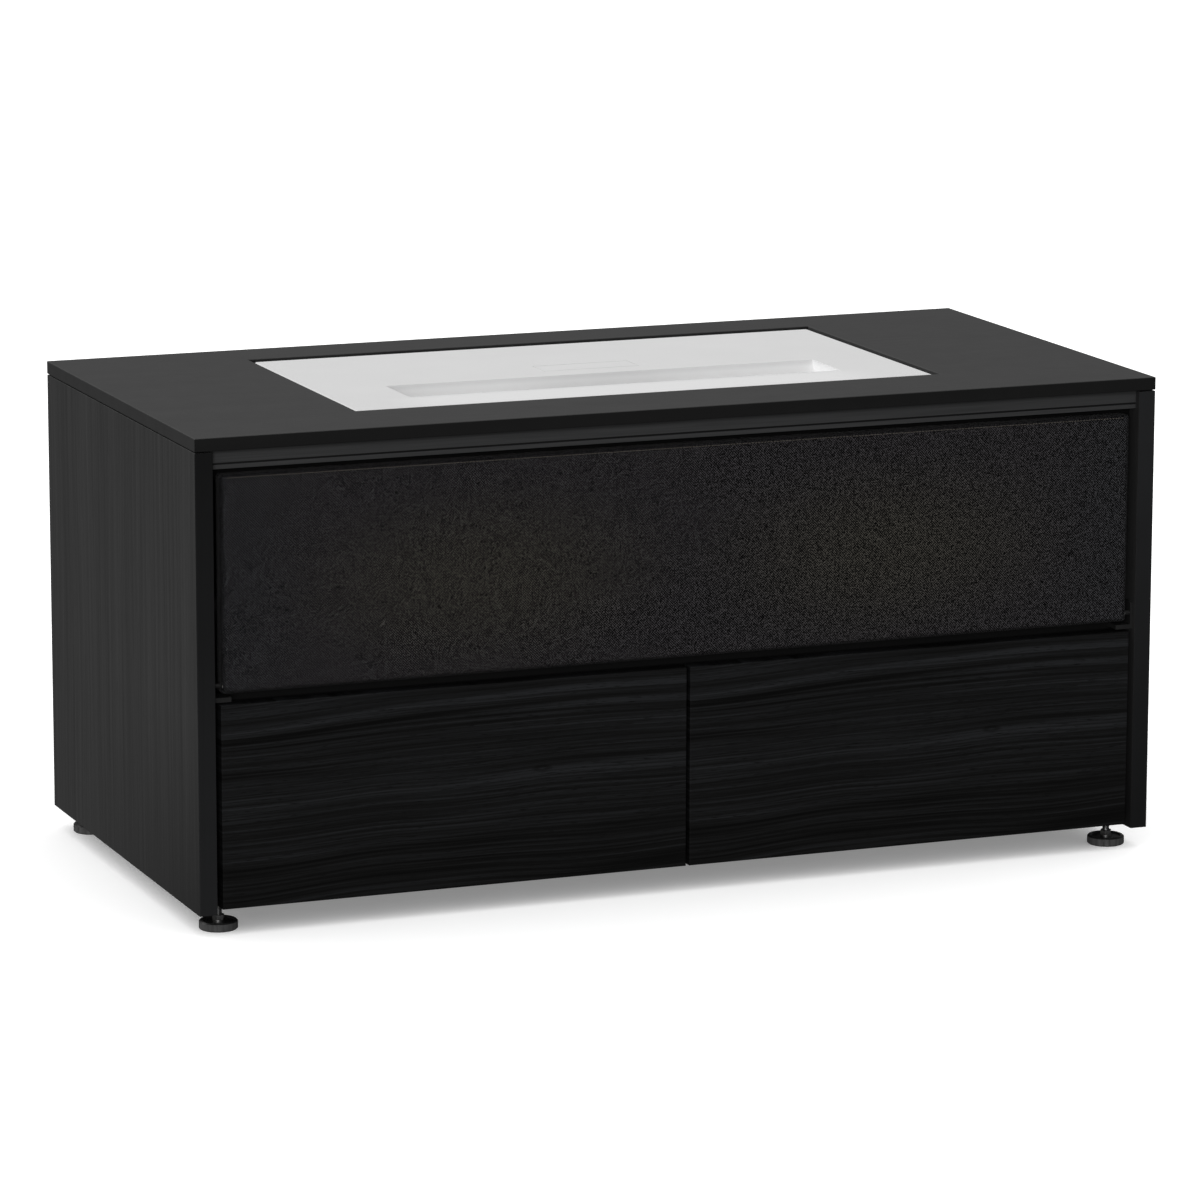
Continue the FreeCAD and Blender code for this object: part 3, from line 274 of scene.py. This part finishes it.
def black_board():
    """Black melamine board with a fine pebbled face; its front-facing faces are painted near black, painted
    shade for the gaps where they show.
    """
    m = Shader("black_board", roughness=0.55, specular=0.3)
    pebble = m.noise(m.place(), 900.0, 3.0)
    mottle = m.noise(m.place(), 14.0, 3.0)
    face = m.ramp(mottle, (0.3, grey(BOARD_TONE * 0.85)), (0.7, grey(BOARD_TONE * 1.15)))
    # painted shade: faces toward the front are near black
    m.put("Base Color", m.blend(m.facing(1, -1), face, grey(0.002)))
    m.put("Roughness", m.span(pebble, 0.3, 0.7, 0.50, 0.64))
    m.soften_edges(m.bump(pebble, 0.00010, 0.7), 0.0005)
    return m.material


def birch_board():
    """Pale birch board for the drawer boxes, with its plies showing on the upper edges."""
    m = Shader("birch_board", roughness=0.5, specular=0.35)
    rings = m.noise(m.place((2.5, 2.5, 60)), 1.0, 5.0, 0.6, 0.4)
    flecks = m.noise(m.place((60, 60, 1600)), 1.0, 1.0)
    face = m.ramp(rings, (0.30, (0.50, 0.35, 0.20)), (0.55, (0.62, 0.46, 0.29)), (0.75, (0.68, 0.53, 0.35)))
    face = m.blend(m.span(flecks, 0.62, 0.75), face, (0.40, 0.26, 0.15))
    across = m.add("SeparateXYZ", m.place()).outputs
    depth = m.math("ADD", across[0], across[1])
    ply = m.math("PINGPONG", depth, 0.0016)
    edge = m.ramp(m.math("DIVIDE", ply, 0.0016), (0.35, (0.33, 0.21, 0.12)), (0.55, (0.60, 0.44, 0.28)))
    m.put("Base Color", m.blend(m.facing(2, 1), face, edge))
    m.put("Roughness", m.span(rings, 0.3, 0.7, 0.45, 0.58))
    m.soften_edges(m.bump(rings, 0.00008, 0.5), 0.0005)
    return m.material


def anodised_rail():
    """Black anodised extrusion, brushed along its length, with painted shade under the tabletop and on its
    groove and other set-back faces.
    """
    low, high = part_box("front_rail")
    m = Shader("black_anodised", roughness=0.5, metallic=0.15)
    lines = m.noise(m.place((8, 700, 700)), 1.0, 3.0)
    tone = m.ramp(lines, (0.3, grey(RAIL_TONE * 0.85, 0.01)), (0.7, grey(RAIL_TONE * 1.15, 0.01)))
    parts = m.add("SeparateXYZ", m.place()).outputs
    drop = m.math("SUBTRACT", high.z, parts[2])
    # painted shade: darker just under the tabletop and near black on every face set back from the front
    shade = m.span(drop, 3.0 * MM, 6.0 * MM, 0.55, 1.0)
    painted_shade_set_back = m.span(m.math("SUBTRACT", parts[1], low.y), 0.2 * MM, 0.6 * MM, 1.0, 0.04)
    painted_shade_mask = m.math("MULTIPLY", shade, painted_shade_set_back)
    m.put("Base Color", m.blend(painted_shade_mask, grey(0.002), tone))
    m.put("Roughness", m.span(lines, 0.3, 0.7, 0.43, 0.57))
    m.soften_edges(m.bump(lines, 0.00004, 0.5), 0.0004)
    return m.material


def plated_steel():
    """Zinc-plated steel: pale, cloudy, with faint warm and cool patches."""
    m = Shader("zinc_steel", roughness=0.34, metallic=1.0)
    bloom = m.noise(m.place(), 55.0, 4.0, 0.6, 0.6)
    grain = m.cells(m.place(), 420.0)
    tone = m.math("ADD", m.math("MULTIPLY", bloom, 0.7), m.math("MULTIPLY", grain, 0.3))
    m.put("Base Color", m.ramp(tone, (0.25, (0.30, 0.31, 0.33)), (0.5, (0.42, 0.42, 0.42)),
                               (0.75, (0.50, 0.49, 0.46))))
    m.put("Roughness", m.span(tone, 0.25, 0.75, 0.26, 0.44))
    m.soften_edges(m.bump(grain, 0.00003, 0.4), 0.0003)
    return m.material


def powder_coat():
    """Black powder-coated steel with an orange-peel face."""
    m = Shader("black_steel", roughness=0.45, specular=0.45)
    peel = m.noise(m.place(), 420.0, 2.0)
    m.put("Base Color", m.ramp(m.noise(m.place(), 20.0, 3.0), (0.3, grey(0.020)), (0.7, grey(0.030))))
    m.put("Roughness", m.span(peel, 0.3, 0.7, 0.38, 0.50))
    m.soften_edges(m.bump(peel, 0.00012, 0.6), 0.0004)
    return m.material


def moulded(name, base, roughness, texture=1100.0, depth=0.00006, specular=0.5, edge=0.0005, cloud=0.06):
    """Moulded plastic or rubber: a fine spark texture and a slight cloudiness."""
    m = Shader(name, roughness=roughness, specular=specular)
    spark = m.noise(m.place(), texture, 2.0)
    drift = m.noise(m.place(), 11.0, 3.0)
    dark = tuple(v * (1 - cloud) for v in base)
    light = tuple(v * (1 + cloud) for v in base)
    m.put("Base Color", m.ramp(drift, (0.3, dark), (0.7, light)))
    m.put("Roughness", m.span(spark, 0.3, 0.7, roughness - 0.05, roughness + 0.06))
    m.soften_edges(m.bump(spark, depth, 0.6), edge)
    return m.material


def white_case():
    """The projector's white shell, finely textured, with painted light making it a touch paler in front of
    the light exit and on every face more than 6 mm below its top, the recess included.
    """
    m = Shader("white_case", roughness=0.5, specular=0.3)
    spark = m.noise(m.place(), 1400.0, 2.0)
    drift = m.noise(m.place(), 11.0, 3.0)
    plain = m.ramp(drift, (0.3, grey(CASE_TONE * 0.985)), (0.7, grey(CASE_TONE * 1.01)))
    low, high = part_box("projector_upper_case")
    parts = m.add("SeparateXYZ", m.place()).outputs
    # painted light: a paler strip in front of the light exit and paler faces down in the recess
    front = m.span(parts[1], low.y + 0.050, low.y + 0.074, 1.0, 0.0, smooth=True)
    middle = m.span(m.math("ABSOLUTE", parts[0]), 0.22, 0.30, 1.0, 0.0, smooth=True)
    sunk_painted_light = m.span(parts[2], high.z - 0.006, high.z - 0.002, 1.0, 0.0)
    painted_light_mask = m.math("MAXIMUM", m.math("MULTIPLY", m.math("MULTIPLY", front, middle), 0.8), sunk_painted_light)
    m.put("Base Color", m.blend(painted_light_mask, plain, grey(CASE_TONE * 1.12)))
    m.put("Roughness", m.span(spark, 0.3, 0.7, 0.45, 0.56))
    m.soften_edges(m.bump(spark, 0.00004, 0.6), 0.0006)
    return m.material


def foot_plastic():
    """Tough black plastic of the levelling pads: a painted highlight on the rim and painted shade on top, lit
    and shaded copies of one plastic.
    """
    m = Shader("foot_plastic", roughness=0.35, specular=0.5)
    spark = m.noise(m.place(), 800.0, 2.0)
    scuff_and_sheen = m.noise(m.place((300, 300, 40)), 1.0, 4.0)
    # painted highlight on the rim, painted shade on the top
    rim = m.ramp(scuff_and_sheen, (0.35, grey(PAD_RIM_HIGHLIGHT_TONE * 0.75)), (0.7, grey(PAD_RIM_HIGHLIGHT_TONE * 1.3)))
    m.put("Base Color", m.blend(m.facing(2, 1), rim, grey(PAD_RIM_HIGHLIGHT_TONE * 0.2)))
    m.put("Roughness", m.span(scuff_and_sheen, 0.3, 0.7, 0.26, 0.44))
    m.soften_edges(m.bump(spark, 0.00006, 0.6), 0.0006)
    return m.material


def magnet_alloy():
    """Dark sintered magnet with a coarse grain."""
    m = Shader("magnet_alloy", roughness=0.5, metallic=0.8)
    grain = m.cells(m.place(), 1500.0)
    m.put("Base Color", m.ramp(grain, (0.1, grey(0.06)), (0.8, grey(0.12))))
    m.bump(grain, 0.00006, 0.6)
    return m.material


def smoked_glass():
    """The coated glass of the light exit, with a film of dust."""
    m = Shader("smoked_glass", base=(0.30, 0.31, 0.34), roughness=0.03, specular=0.6,
               Transmission_Weight=0.85)
    dust = m.noise(m.place(), 260.0, 4.0, 0.7)
    m.put("Roughness", m.span(dust, 0.45, 0.75, 0.02, 0.10))
    return m.material


def coated_mirror():
    """A front-silvered mirror with faint haze."""
    m = Shader("coated_mirror", base=(0.85, 0.86, 0.88), roughness=0.05, metallic=1.0)
    m.put("Roughness", m.span(m.noise(m.place(), 90.0, 4.0), 0.4, 0.8, 0.03, 0.12))
    return m.material


WEAVE_PITCH, WEAVE_WOBBLE = 2.8 * MM, 2.8 * MM
PAINTED_LIGHT_PATCH_X, PAINTED_LIGHT_PATCH_Z = 0.235, 0.365


def speaker_cloth():
    """Open diagonal weave: pale threads over black gaps, warmer and lighter in two broad patches of painted
    light, cooler at the ends, with painted shade near the edges.
    """
    low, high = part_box("grille_cloth")
    m = Shader("speaker_cloth", roughness=0.9, specular=0.1, Sheen_Weight=0.05, Sheen_Roughness=0.5)
    wobble = m.math("MULTIPLY", m.math("SUBTRACT", m.noise(m.place(), 190.0, 2.0), 0.5), WEAVE_WOBBLE)
    parts = m.add("SeparateXYZ", m.place()).outputs
    x = m.math("ADD", parts[0], wobble)
    z = m.math("ADD", parts[2], m.math("MULTIPLY", wobble, -0.8))
    turn = 2 * math.pi / WEAVE_PITCH
    one = m.math("SINE", m.math("MULTIPLY", x, turn))
    two = m.math("SINE", m.math("MULTIPLY", z, turn))
    weave = m.math("MULTIPLY", one, two)
    slubs = m.math("MULTIPLY", m.math("SUBTRACT", m.noise(m.place(), 560.0, 3.0, 0.8), 0.5), 6.0)
    height = m.math("ADD", m.math("MULTIPLY", weave, 1.1), slubs)
    cover = m.span(height, 0.05, 0.60)
    # painted light: two broad warmer, lighter patches on the threads
    dx = m.math("SUBTRACT", m.math("ABSOLUTE", parts[0]), PAINTED_LIGHT_PATCH_X)
    dz = m.math("MULTIPLY", m.math("SUBTRACT", parts[2], PAINTED_LIGHT_PATCH_Z), 2.2)
    spread = m.math("ADD", m.math("MULTIPLY", dx, dx), m.math("MULTIPLY", dz, dz))
    painted_light_patch = m.span(m.math("SQRT", spread), 0.03, 0.27, 1.0, 0.0, smooth=True)
    t = THREAD_TONE
    thread = m.blend(painted_light_patch, (t * 1.02, t * 0.96, t * 1.02), (t * 1.36, t * 1.27, t * 1.10))
    ends = m.span(m.math("ABSOLUTE", parts[0]), 0.40, 0.53, 0.0, 0.7, smooth=True)
    thread = m.blend(ends, thread, (t * 0.93, t * 0.95, t * 1.03))
    # painted shade: the threads fade toward black within 6 mm of the cloth's edges
    side = m.math("SUBTRACT", high.x, m.math("ABSOLUTE", parts[0]))
    above, below = m.math("SUBTRACT", high.z, parts[2]), m.math("SUBTRACT", parts[2], low.z)
    inward = m.math("MINIMUM", side, m.math("MINIMUM", above, below))
    rim = m.span(inward, 0.0, 6 * MM, 0.35, 1.0, smooth=True)
    cover = m.math("MULTIPLY", cover, rim)
    m.put("Base Color", m.blend(cover, (0.0012, 0.0012, 0.0013), thread))
    m.put("Roughness", m.span(cover, 0.0, 1.0, 1.0, 0.85))
    m.bump(height, 0.0004, 0.4)
    return m.material


def stitch_thread():
    """Pale warm yarn of the selvedge row."""
    m = Shader("stitch_thread", roughness=0.85, specular=0.2, Sheen_Weight=0.3)
    twist = m.noise(m.place((900, 900, 4000)), 1.0, 2.0)
    m.put("Base Color", m.ramp(twist, (0.3, (0.10, 0.09, 0.075)), (0.7, (0.26, 0.23, 0.19))))
    m.bump(twist, 0.0002, 0.7)
    return m.material


def floor_material():
    """Plain white studio floor."""
    m = Shader("studio_floor", base=(0.9, 0.9, 0.9), roughness=1.0, specular=0.0,
               Emission_Strength=FLOOR_GLOW)
    m.put("Emission Color", (1.0, 1.0, 1.0, 1.0))
    return m.material


# ---------------------------------------------------------------- pieces made here

def mesh_piece(name, verts, faces, body, material, smooth=True):
    """A mesh object in the row frame that rides on a CAD body."""
    mesh = bpy.data.meshes.new(name)
    mesh.from_pydata([tuple(v) for v in verts], [], faces)
    mesh.validate()
    mesh.materials.append(material)
    if smooth:
        mesh.shade_smooth()
    piece = bpy.data.objects.new(name, mesh)
    bpy.context.scene.collection.objects.link(piece)
    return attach(piece, body)


CLOTH_THICK = 0.6 * MM
CLOTH_ROUND = 4.2 * MM
CLOTH_BACK = 14.0 * MM
CLOTH_HEEL = 1.2 * MM


def cloth_profile(depth):
    """How the cloth turns over the frame's edge: (distance along it, outward step, backward step) points."""
    points, steps = [], 8
    for i in range(1, steps + 1):
        a = math.pi / 2 * i / steps
        points.append((CLOTH_ROUND * a, CLOTH_ROUND * math.sin(a), CLOTH_ROUND * (1 - math.cos(a))))
    run = CLOTH_ROUND * math.pi / 2
    straight = depth - 2 * CLOTH_HEEL - CLOTH_ROUND
    for share in (0.33, 0.66, 1.0):
        points.append((run + straight * share, CLOTH_ROUND, CLOTH_ROUND + straight * share))
    run += straight
    small, drop = CLOTH_HEEL, CLOTH_ROUND + straight
    for i in range(1, 5):
        a = math.pi / 2 * i / 4
        points.append((run + small * a, CLOTH_ROUND - small * (1 - math.cos(a)), drop + small * math.sin(a)))
    run += small * math.pi / 2
    for share in (0.25, 0.5, 0.75, 1.0):
        reach = CLOTH_BACK * share
        points.append((run + reach, CLOTH_ROUND - small - reach, drop + small))
    return points


def grille_cloth():
    """The speaker cloth: flat over the windows, rounded over the frame's edges and lapped onto its back."""
    low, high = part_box("grille_cloth")
    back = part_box("grille_frame")[1].y
    half_x, mid_z, half_z = high.x, (low.z + high.z) / 2, (high.z - low.z) / 2
    depth = back - low.y + CLOTH_HEEL + CLOTH_THICK
    profile = cloth_profile(depth)
    flat_x, flat_z = half_x - CLOTH_ROUND, half_z - CLOTH_ROUND

    def line(flat, count):
        """Positions across the cloth: (place in the flat, how far past its edge, profile row)."""
        inner = [(-flat + 2 * flat * i / count, 0) for i in range(count + 1)]
        return ([(-flat, -k) for k in range(len(profile), 0, -1)] + inner
                + [(flat, k) for k in range(1, len(profile) + 1)])

    across, upward = line(flat_x, 150), line(flat_z, 36)
    outer, inner = [], []
    for pz, kz in upward:
        for px, kx in across:
            k = max(abs(kx), abs(kz))
            if k == 0:
                outer.append(Vector((px, low.y, mid_z + pz)))
                inner.append(Vector((0, 1, 0)))
                continue
            _, out, drop = profile[k - 1]
            aim = Vector((kx, 0, kz))
            aim = aim.normalized() if kx and kz else Vector((math.copysign(1, kx) if kx else 0, 0,
                                                             math.copysign(1, kz) if kz else 0))
            outer.append(Vector((px + aim.x * out, low.y + drop, mid_z + pz + aim.z * out)))
            before = profile[k - 2] if k > 1 else (0, 0, 0)
            after = profile[k] if k < len(profile) else profile[k - 1]
            along = Vector((after[1] - before[1], after[2] - before[2]))
            along.normalize()
            inner.append(Vector((-along.y * aim.x, along.x, -along.y * aim.z)))
    columns, count = len(across), len(outer)
    verts = outer + [p + n * CLOTH_THICK for p, n in zip(outer, inner)]
    faces = []
    for r in range(len(upward) - 1):
        for c in range(columns - 1):
            a, b = r * columns + c, r * columns + c + 1
            d, e = a + columns, b + columns
            faces.append((a, b, e, d))
            faces.append((a + count, d + count, e + count, b + count))
    rim = list(range(columns)) + [r * columns + columns - 1 for r in range(1, len(upward))]
    rim += [count - 1 - c for c in range(1, columns)] + [r * columns for r in range(len(upward) - 2, 0, -1)]
    for a, b in zip(rim, rim[1:] + rim[:1]):
        faces.append((b, a, a + count, b + count))
    cloth = mesh_piece("grille_speaker_cloth", verts, faces, "grille_door", speaker_cloth())
    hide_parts("grille_cloth")
    return cloth


STITCH_PITCH, STITCH_LONG, STITCH_R = 3.6 * MM, 2.5 * MM, 0.38 * MM


def selvedge_stitches():
    """A row of short thick yarn loops along the grille's upper front edge."""
    low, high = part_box("grille_cloth")
    verts, faces = [], []
    draw = random.Random(7)
    rings, around = 5, 6
    x = low.x + 8 * MM
    while x < high.x - 8 * MM:
        tilt = draw.uniform(-0.2, 0.2) * STITCH_R
        first = len(verts)
        for i in range(rings):
            share = i / (rings - 1)
            fat = STITCH_R * (0.35 + 0.65 * math.sin(math.pi * (0.12 + 0.76 * share)))
            for j in range(around):
                a = 2 * math.pi * j / around
                verts.append((x + STITCH_LONG * share, low.y + 0.25 * MM + fat * math.cos(a),
                              high.z - 3.4 * MM + tilt + 1.3 * fat * math.sin(a)))
        for i in range(rings - 1):
            for j in range(around):
                a, b = first + i * around + j, first + i * around + (j + 1) % around
                faces.append((a, b, b + around, a + around))
        faces.append(tuple(first + j for j in range(around))[::-1])
        faces.append(tuple(first + (rings - 1) * around + j for j in range(around)))
        x += STITCH_PITCH * draw.uniform(0.92, 1.08)
    row = mesh_piece("grille_selvedge_stitches", verts, faces, "grille_door", stitch_thread())
    return row


THREAD_PITCH, THREAD_DEPTH = 1.25 * MM, 0.55 * MM


def lathe(profile, centre, around=40):
    """Rings and faces of a turned shape from (radius, z) points; a radius of 0 closes an end."""
    verts, faces = [], []
    for r, z in profile:
        for j in range(around):
            a = 2 * math.pi * j / around
            verts.append((centre.x + r * math.cos(a), centre.y + r * math.sin(a), z))
    for i in range(len(profile) - 1):
        for j in range(around):
            a, b = i * around + j, i * around + (j + 1) % around
            faces.append((a, b, b + around, a + around))
    return verts, faces


def threaded_stem(corner, material):
    """A foot's stem: a real screw thread over a chamfered hexagonal collar and a round end."""
    node = "foot_" + corner + "_stem"
    low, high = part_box(node)
    centre = (low + high) / 2
    radius, collar_low, collar_high = 4.0 * MM, 10.1 * MM, 15.6 * MM
    around, per_turn = 24, 8
    verts, faces = [], []
    z, rows = collar_high - 0.2 * MM, 0
    while z <= high.z:
        taper = min(1.0, (high.z - z) / THREAD_PITCH)
        for j in range(around):
            share = (z / THREAD_PITCH - j / around) % 1.0
            flank = abs(2 * share - 1)
            depth = THREAD_DEPTH * min(1.0, max(0.0, (flank - 0.12) / 0.76))
            r = radius - depth - (1 - taper) * 0.5 * MM
            a = 2 * math.pi * j / around
            verts.append((centre.x + r * math.cos(a), centre.y + r * math.sin(a), z))
        z += THREAD_PITCH / per_turn
        rows += 1
    for i in range(rows - 1):
        for j in range(around):
            a, b = i * around + j, i * around + (j + 1) % around
            faces.append((a, b, b + around, a + around))
    faces.append(tuple((rows - 1) * around + j for j in range(around)))
    faces.append(tuple(range(around))[::-1])
    hexagon = (11.5 / math.sqrt(3)) * MM
    collar = ((hexagon * 0.90, collar_low), (hexagon, collar_low + 0.6 * MM),
              (hexagon, collar_high - 0.6 * MM), (hexagon * 0.90, collar_high))
    end = ((5.4 * MM, low.z), (6.2 * MM, low.z + 0.8 * MM), (6.2 * MM, collar_low + 0.05 * MM))
    for profile, count in ((collar, 6), (end, 32)):
        start = len(verts)
        more, sides = lathe(profile, centre, count)
        verts += more
        faces += [tuple(start + k for k in f) for f in sides]
        faces.append(tuple(start + j for j in range(count))[::-1])
        faces.append(tuple(start + (len(profile) - 1) * count + j for j in range(count)))
    stem = mesh_piece("stem_thread_" + corner, verts, faces, "stem_" + corner, material, smooth=False)
    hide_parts(node)
    return stem


# ---------------------------------------------------------------- which node gets which material

CORNERS = ("front_left", "front_right", "back_left", "back_right")


def dress(names, material):
    """Puts one material on CAD nodes."""
    for name in names:
        mesh = nodes[name].data
        mesh.materials.clear()
        mesh.materials.append(material)


def dress_all():
    """Gives every CAD node its finish."""
    steel = plated_steel()
    foam = moulded("foam_rubber", grey(0.006), 0.9, 500.0, 0.0002, 0.1)
    black = moulded("black_plastic", grey(0.022), 0.5)
    white = white_case()
    coat = powder_coat()
    rail = anodised_rail()
    dress(["top_panel"], laminate())
    dress(["side_panel_left", "side_panel_right"], side_veneer())
    for side in ("left", "right"):
        dress(["drawer_" + side + "_front"], drawer_veneer(side))
    dress(["bottom_panel", "middle_shelf", "centre_divider", "rear_panel_lower", "rear_panel_upper",
           "grille_frame"], black_board())
    dress(["drawer_left_box", "drawer_right_box", "drawer_left_bottom", "drawer_right_bottom"], birch_board())
    dress(["front_rail", "rear_rail"], rail)
    dress(["cross_rails", "projector_tray", "tray_hangers", "rear_panel_screws", "pivot_brackets"], coat)
    dress(["top_screws", "hanger_bolts", "cam_bolts", "cam_locks", "foot_inserts",
           "strike_plates", "slide_cabinet_members", "slide_screws", "drawer_left_runners",
           "drawer_right_runners", "slide_left_middle", "slide_right_middle"], steel)
    dress(["top_gaskets", "door_seal", "cloth_spline", "projector_feet"], foam)
    dress(["cable_grommets", "catch_housings", "projector_port_panel", "projector_lens"], black)
    dress(["pivot_bushings", "slide_left_ball_cages", "slide_right_ball_cages"],
          moulded("nylon", (0.68, 0.68, 0.66), 0.4))
    dress(["projector_upper_case", "projector_lower_case", "projector_control_plate",
           "projector_power_button"], white)
    dress(["projector_exit_glass"], smoked_glass())
    dress(["projector_mirror"], coated_mirror())
    dress(["catch_magnets"], magnet_alloy())
    dress(["foot_" + c + "_pad" for c in CORNERS], foot_plastic())
    for corner in CORNERS:
        threaded_stem(corner, steel)



# ---------------------------------------------------------------- studio

FLOOR_GLOW = 0.24
DOME_HIGH, DOME_LOW = 0.25, 0.04
KEY_FROM, KEY_STRENGTH, KEY_SOFTNESS = (-0.50, 0.30, 0.82), 2.5, 50.0
FILL_FROM, FILL_STRENGTH, FILL_SOFTNESS = (-0.42, -0.90, 0.14), 0.9, 25.0
FLOOR_LIGHT = 3.55


def build_floor():
    """A wide floor, left out of bounced light so that it doesn't light the cabinet from below."""
    mesh = bpy.data.meshes.new("floor")
    reach = 60.0
    mesh.from_pydata([(-reach, -reach, 0), (reach, -reach, 0), (reach, reach, 0), (-reach, reach, 0)], [],
                     [(0, 1, 2, 3)])
    mesh.materials.append(floor_material())
    floor = bpy.data.objects.new("floor", mesh)
    bpy.context.scene.collection.objects.link(floor)
    floor.visible_diffuse = False
    floor.visible_glossy = False
    return floor


def sun(name, direction, strength, softness):
    """A soft distant light that shines from a direction."""
    light = bpy.data.lights.new(name, "SUN")
    light.energy = strength
    light.angle = math.radians(softness)
    lamp = bpy.data.objects.new(name, light)
    lamp.rotation_mode = "QUATERNION"
    lamp.rotation_quaternion = Vector(direction).to_track_quat("Z", "Y")
    bpy.context.scene.collection.objects.link(lamp)
    return lamp


def light_only(lamp, receiver, state):
    """Makes a lamp light only the receiver, or everything but it."""
    group = bpy.data.collections.new(lamp.name + "_receivers")
    group.objects.link(receiver)
    group.collection_objects[0].light_linking.link_state = state
    lamp.light_linking.receiver_collection = group


def build_light(floor):
    """A pale dome, a soft key from above, a weak fill from the front left and a floor light."""
    key = sun("key", KEY_FROM, KEY_STRENGTH, KEY_SOFTNESS)
    light_only(key, floor, "EXCLUDE")
    fill = sun("fill", FILL_FROM, FILL_STRENGTH, FILL_SOFTNESS)
    light_only(fill, floor, "EXCLUDE")
    wash = sun("floor_wash", (0, 0, 1), FLOOR_LIGHT, 150.0)
    light_only(wash, floor, "INCLUDE")
    world = bpy.data.worlds.new("studio")
    bpy.context.scene.world = world
    world.use_nodes = True
    tree = world.node_tree
    background = tree.nodes["Background"]
    seen = tree.nodes.new("ShaderNodeBackground")
    seen.inputs[0].default_value = (1, 1, 1, 1)
    path = tree.nodes.new("ShaderNodeLightPath")
    swap = tree.nodes.new("ShaderNodeMixShader")
    where = tree.nodes.new("ShaderNodeTexCoord")
    parts = tree.nodes.new("ShaderNodeSeparateXYZ")
    rise = tree.nodes.new("ShaderNodeMapRange")
    for socket, value in zip(rise.inputs[1:5], (-0.2, 0.6, DOME_LOW, DOME_HIGH)):
        socket.default_value = value
    tree.links.new(where.outputs["Generated"], parts.inputs[0])
    tree.links.new(parts.outputs[2], rise.inputs[0])
    tree.links.new(rise.outputs[0], background.inputs[1])
    tree.links.new(path.outputs["Is Camera Ray"], swap.inputs[0])
    tree.links.new(background.outputs[0], swap.inputs[1])
    tree.links.new(seen.outputs[0], swap.inputs[2])
    tree.links.new(swap.outputs[0], tree.nodes["World Output"].inputs[0])
    background.inputs[0].default_value = (1, 1, 1, 1)


CAMERA_AT = (-2.3667, -5.9866, 1.5839)
CAMERA_YAW, CAMERA_PITCH, CAMERA_ROLL, CAMERA_LENS = 21.601, 11.517, 0.122, 176.1


def build_camera():
    """The camera, high on the cabinet's left front with a long lens."""
    camera = bpy.data.cameras.new("camera")
    camera.lens = CAMERA_LENS
    camera.sensor_width = 36.0
    camera.clip_end = 200.0
    thing = bpy.data.objects.new("camera", camera)
    bpy.context.scene.collection.objects.link(thing)
    yaw, pitch = math.radians(CAMERA_YAW), math.radians(CAMERA_PITCH)
    aim = Vector((math.sin(yaw) * math.cos(pitch), math.cos(yaw) * math.cos(pitch), -math.sin(pitch)))
    thing.rotation_mode = "QUATERNION"
    roll = Quaternion((0, 0, 1), math.radians(CAMERA_ROLL))
    thing.rotation_quaternion = aim.to_track_quat("-Z", "Y") @ roll
    thing.location = CAMERA_AT
    bpy.context.scene.camera = thing


def build_studio():
    """Floor, lights, camera and plain colour handling."""
    build_light(build_floor())
    build_camera()
    bpy.context.scene.view_settings.view_transform = "Standard"
    bpy.context.scene.view_settings.look = "None"


dress_all()
grille_cloth()
selvedge_stitches()
build_studio()
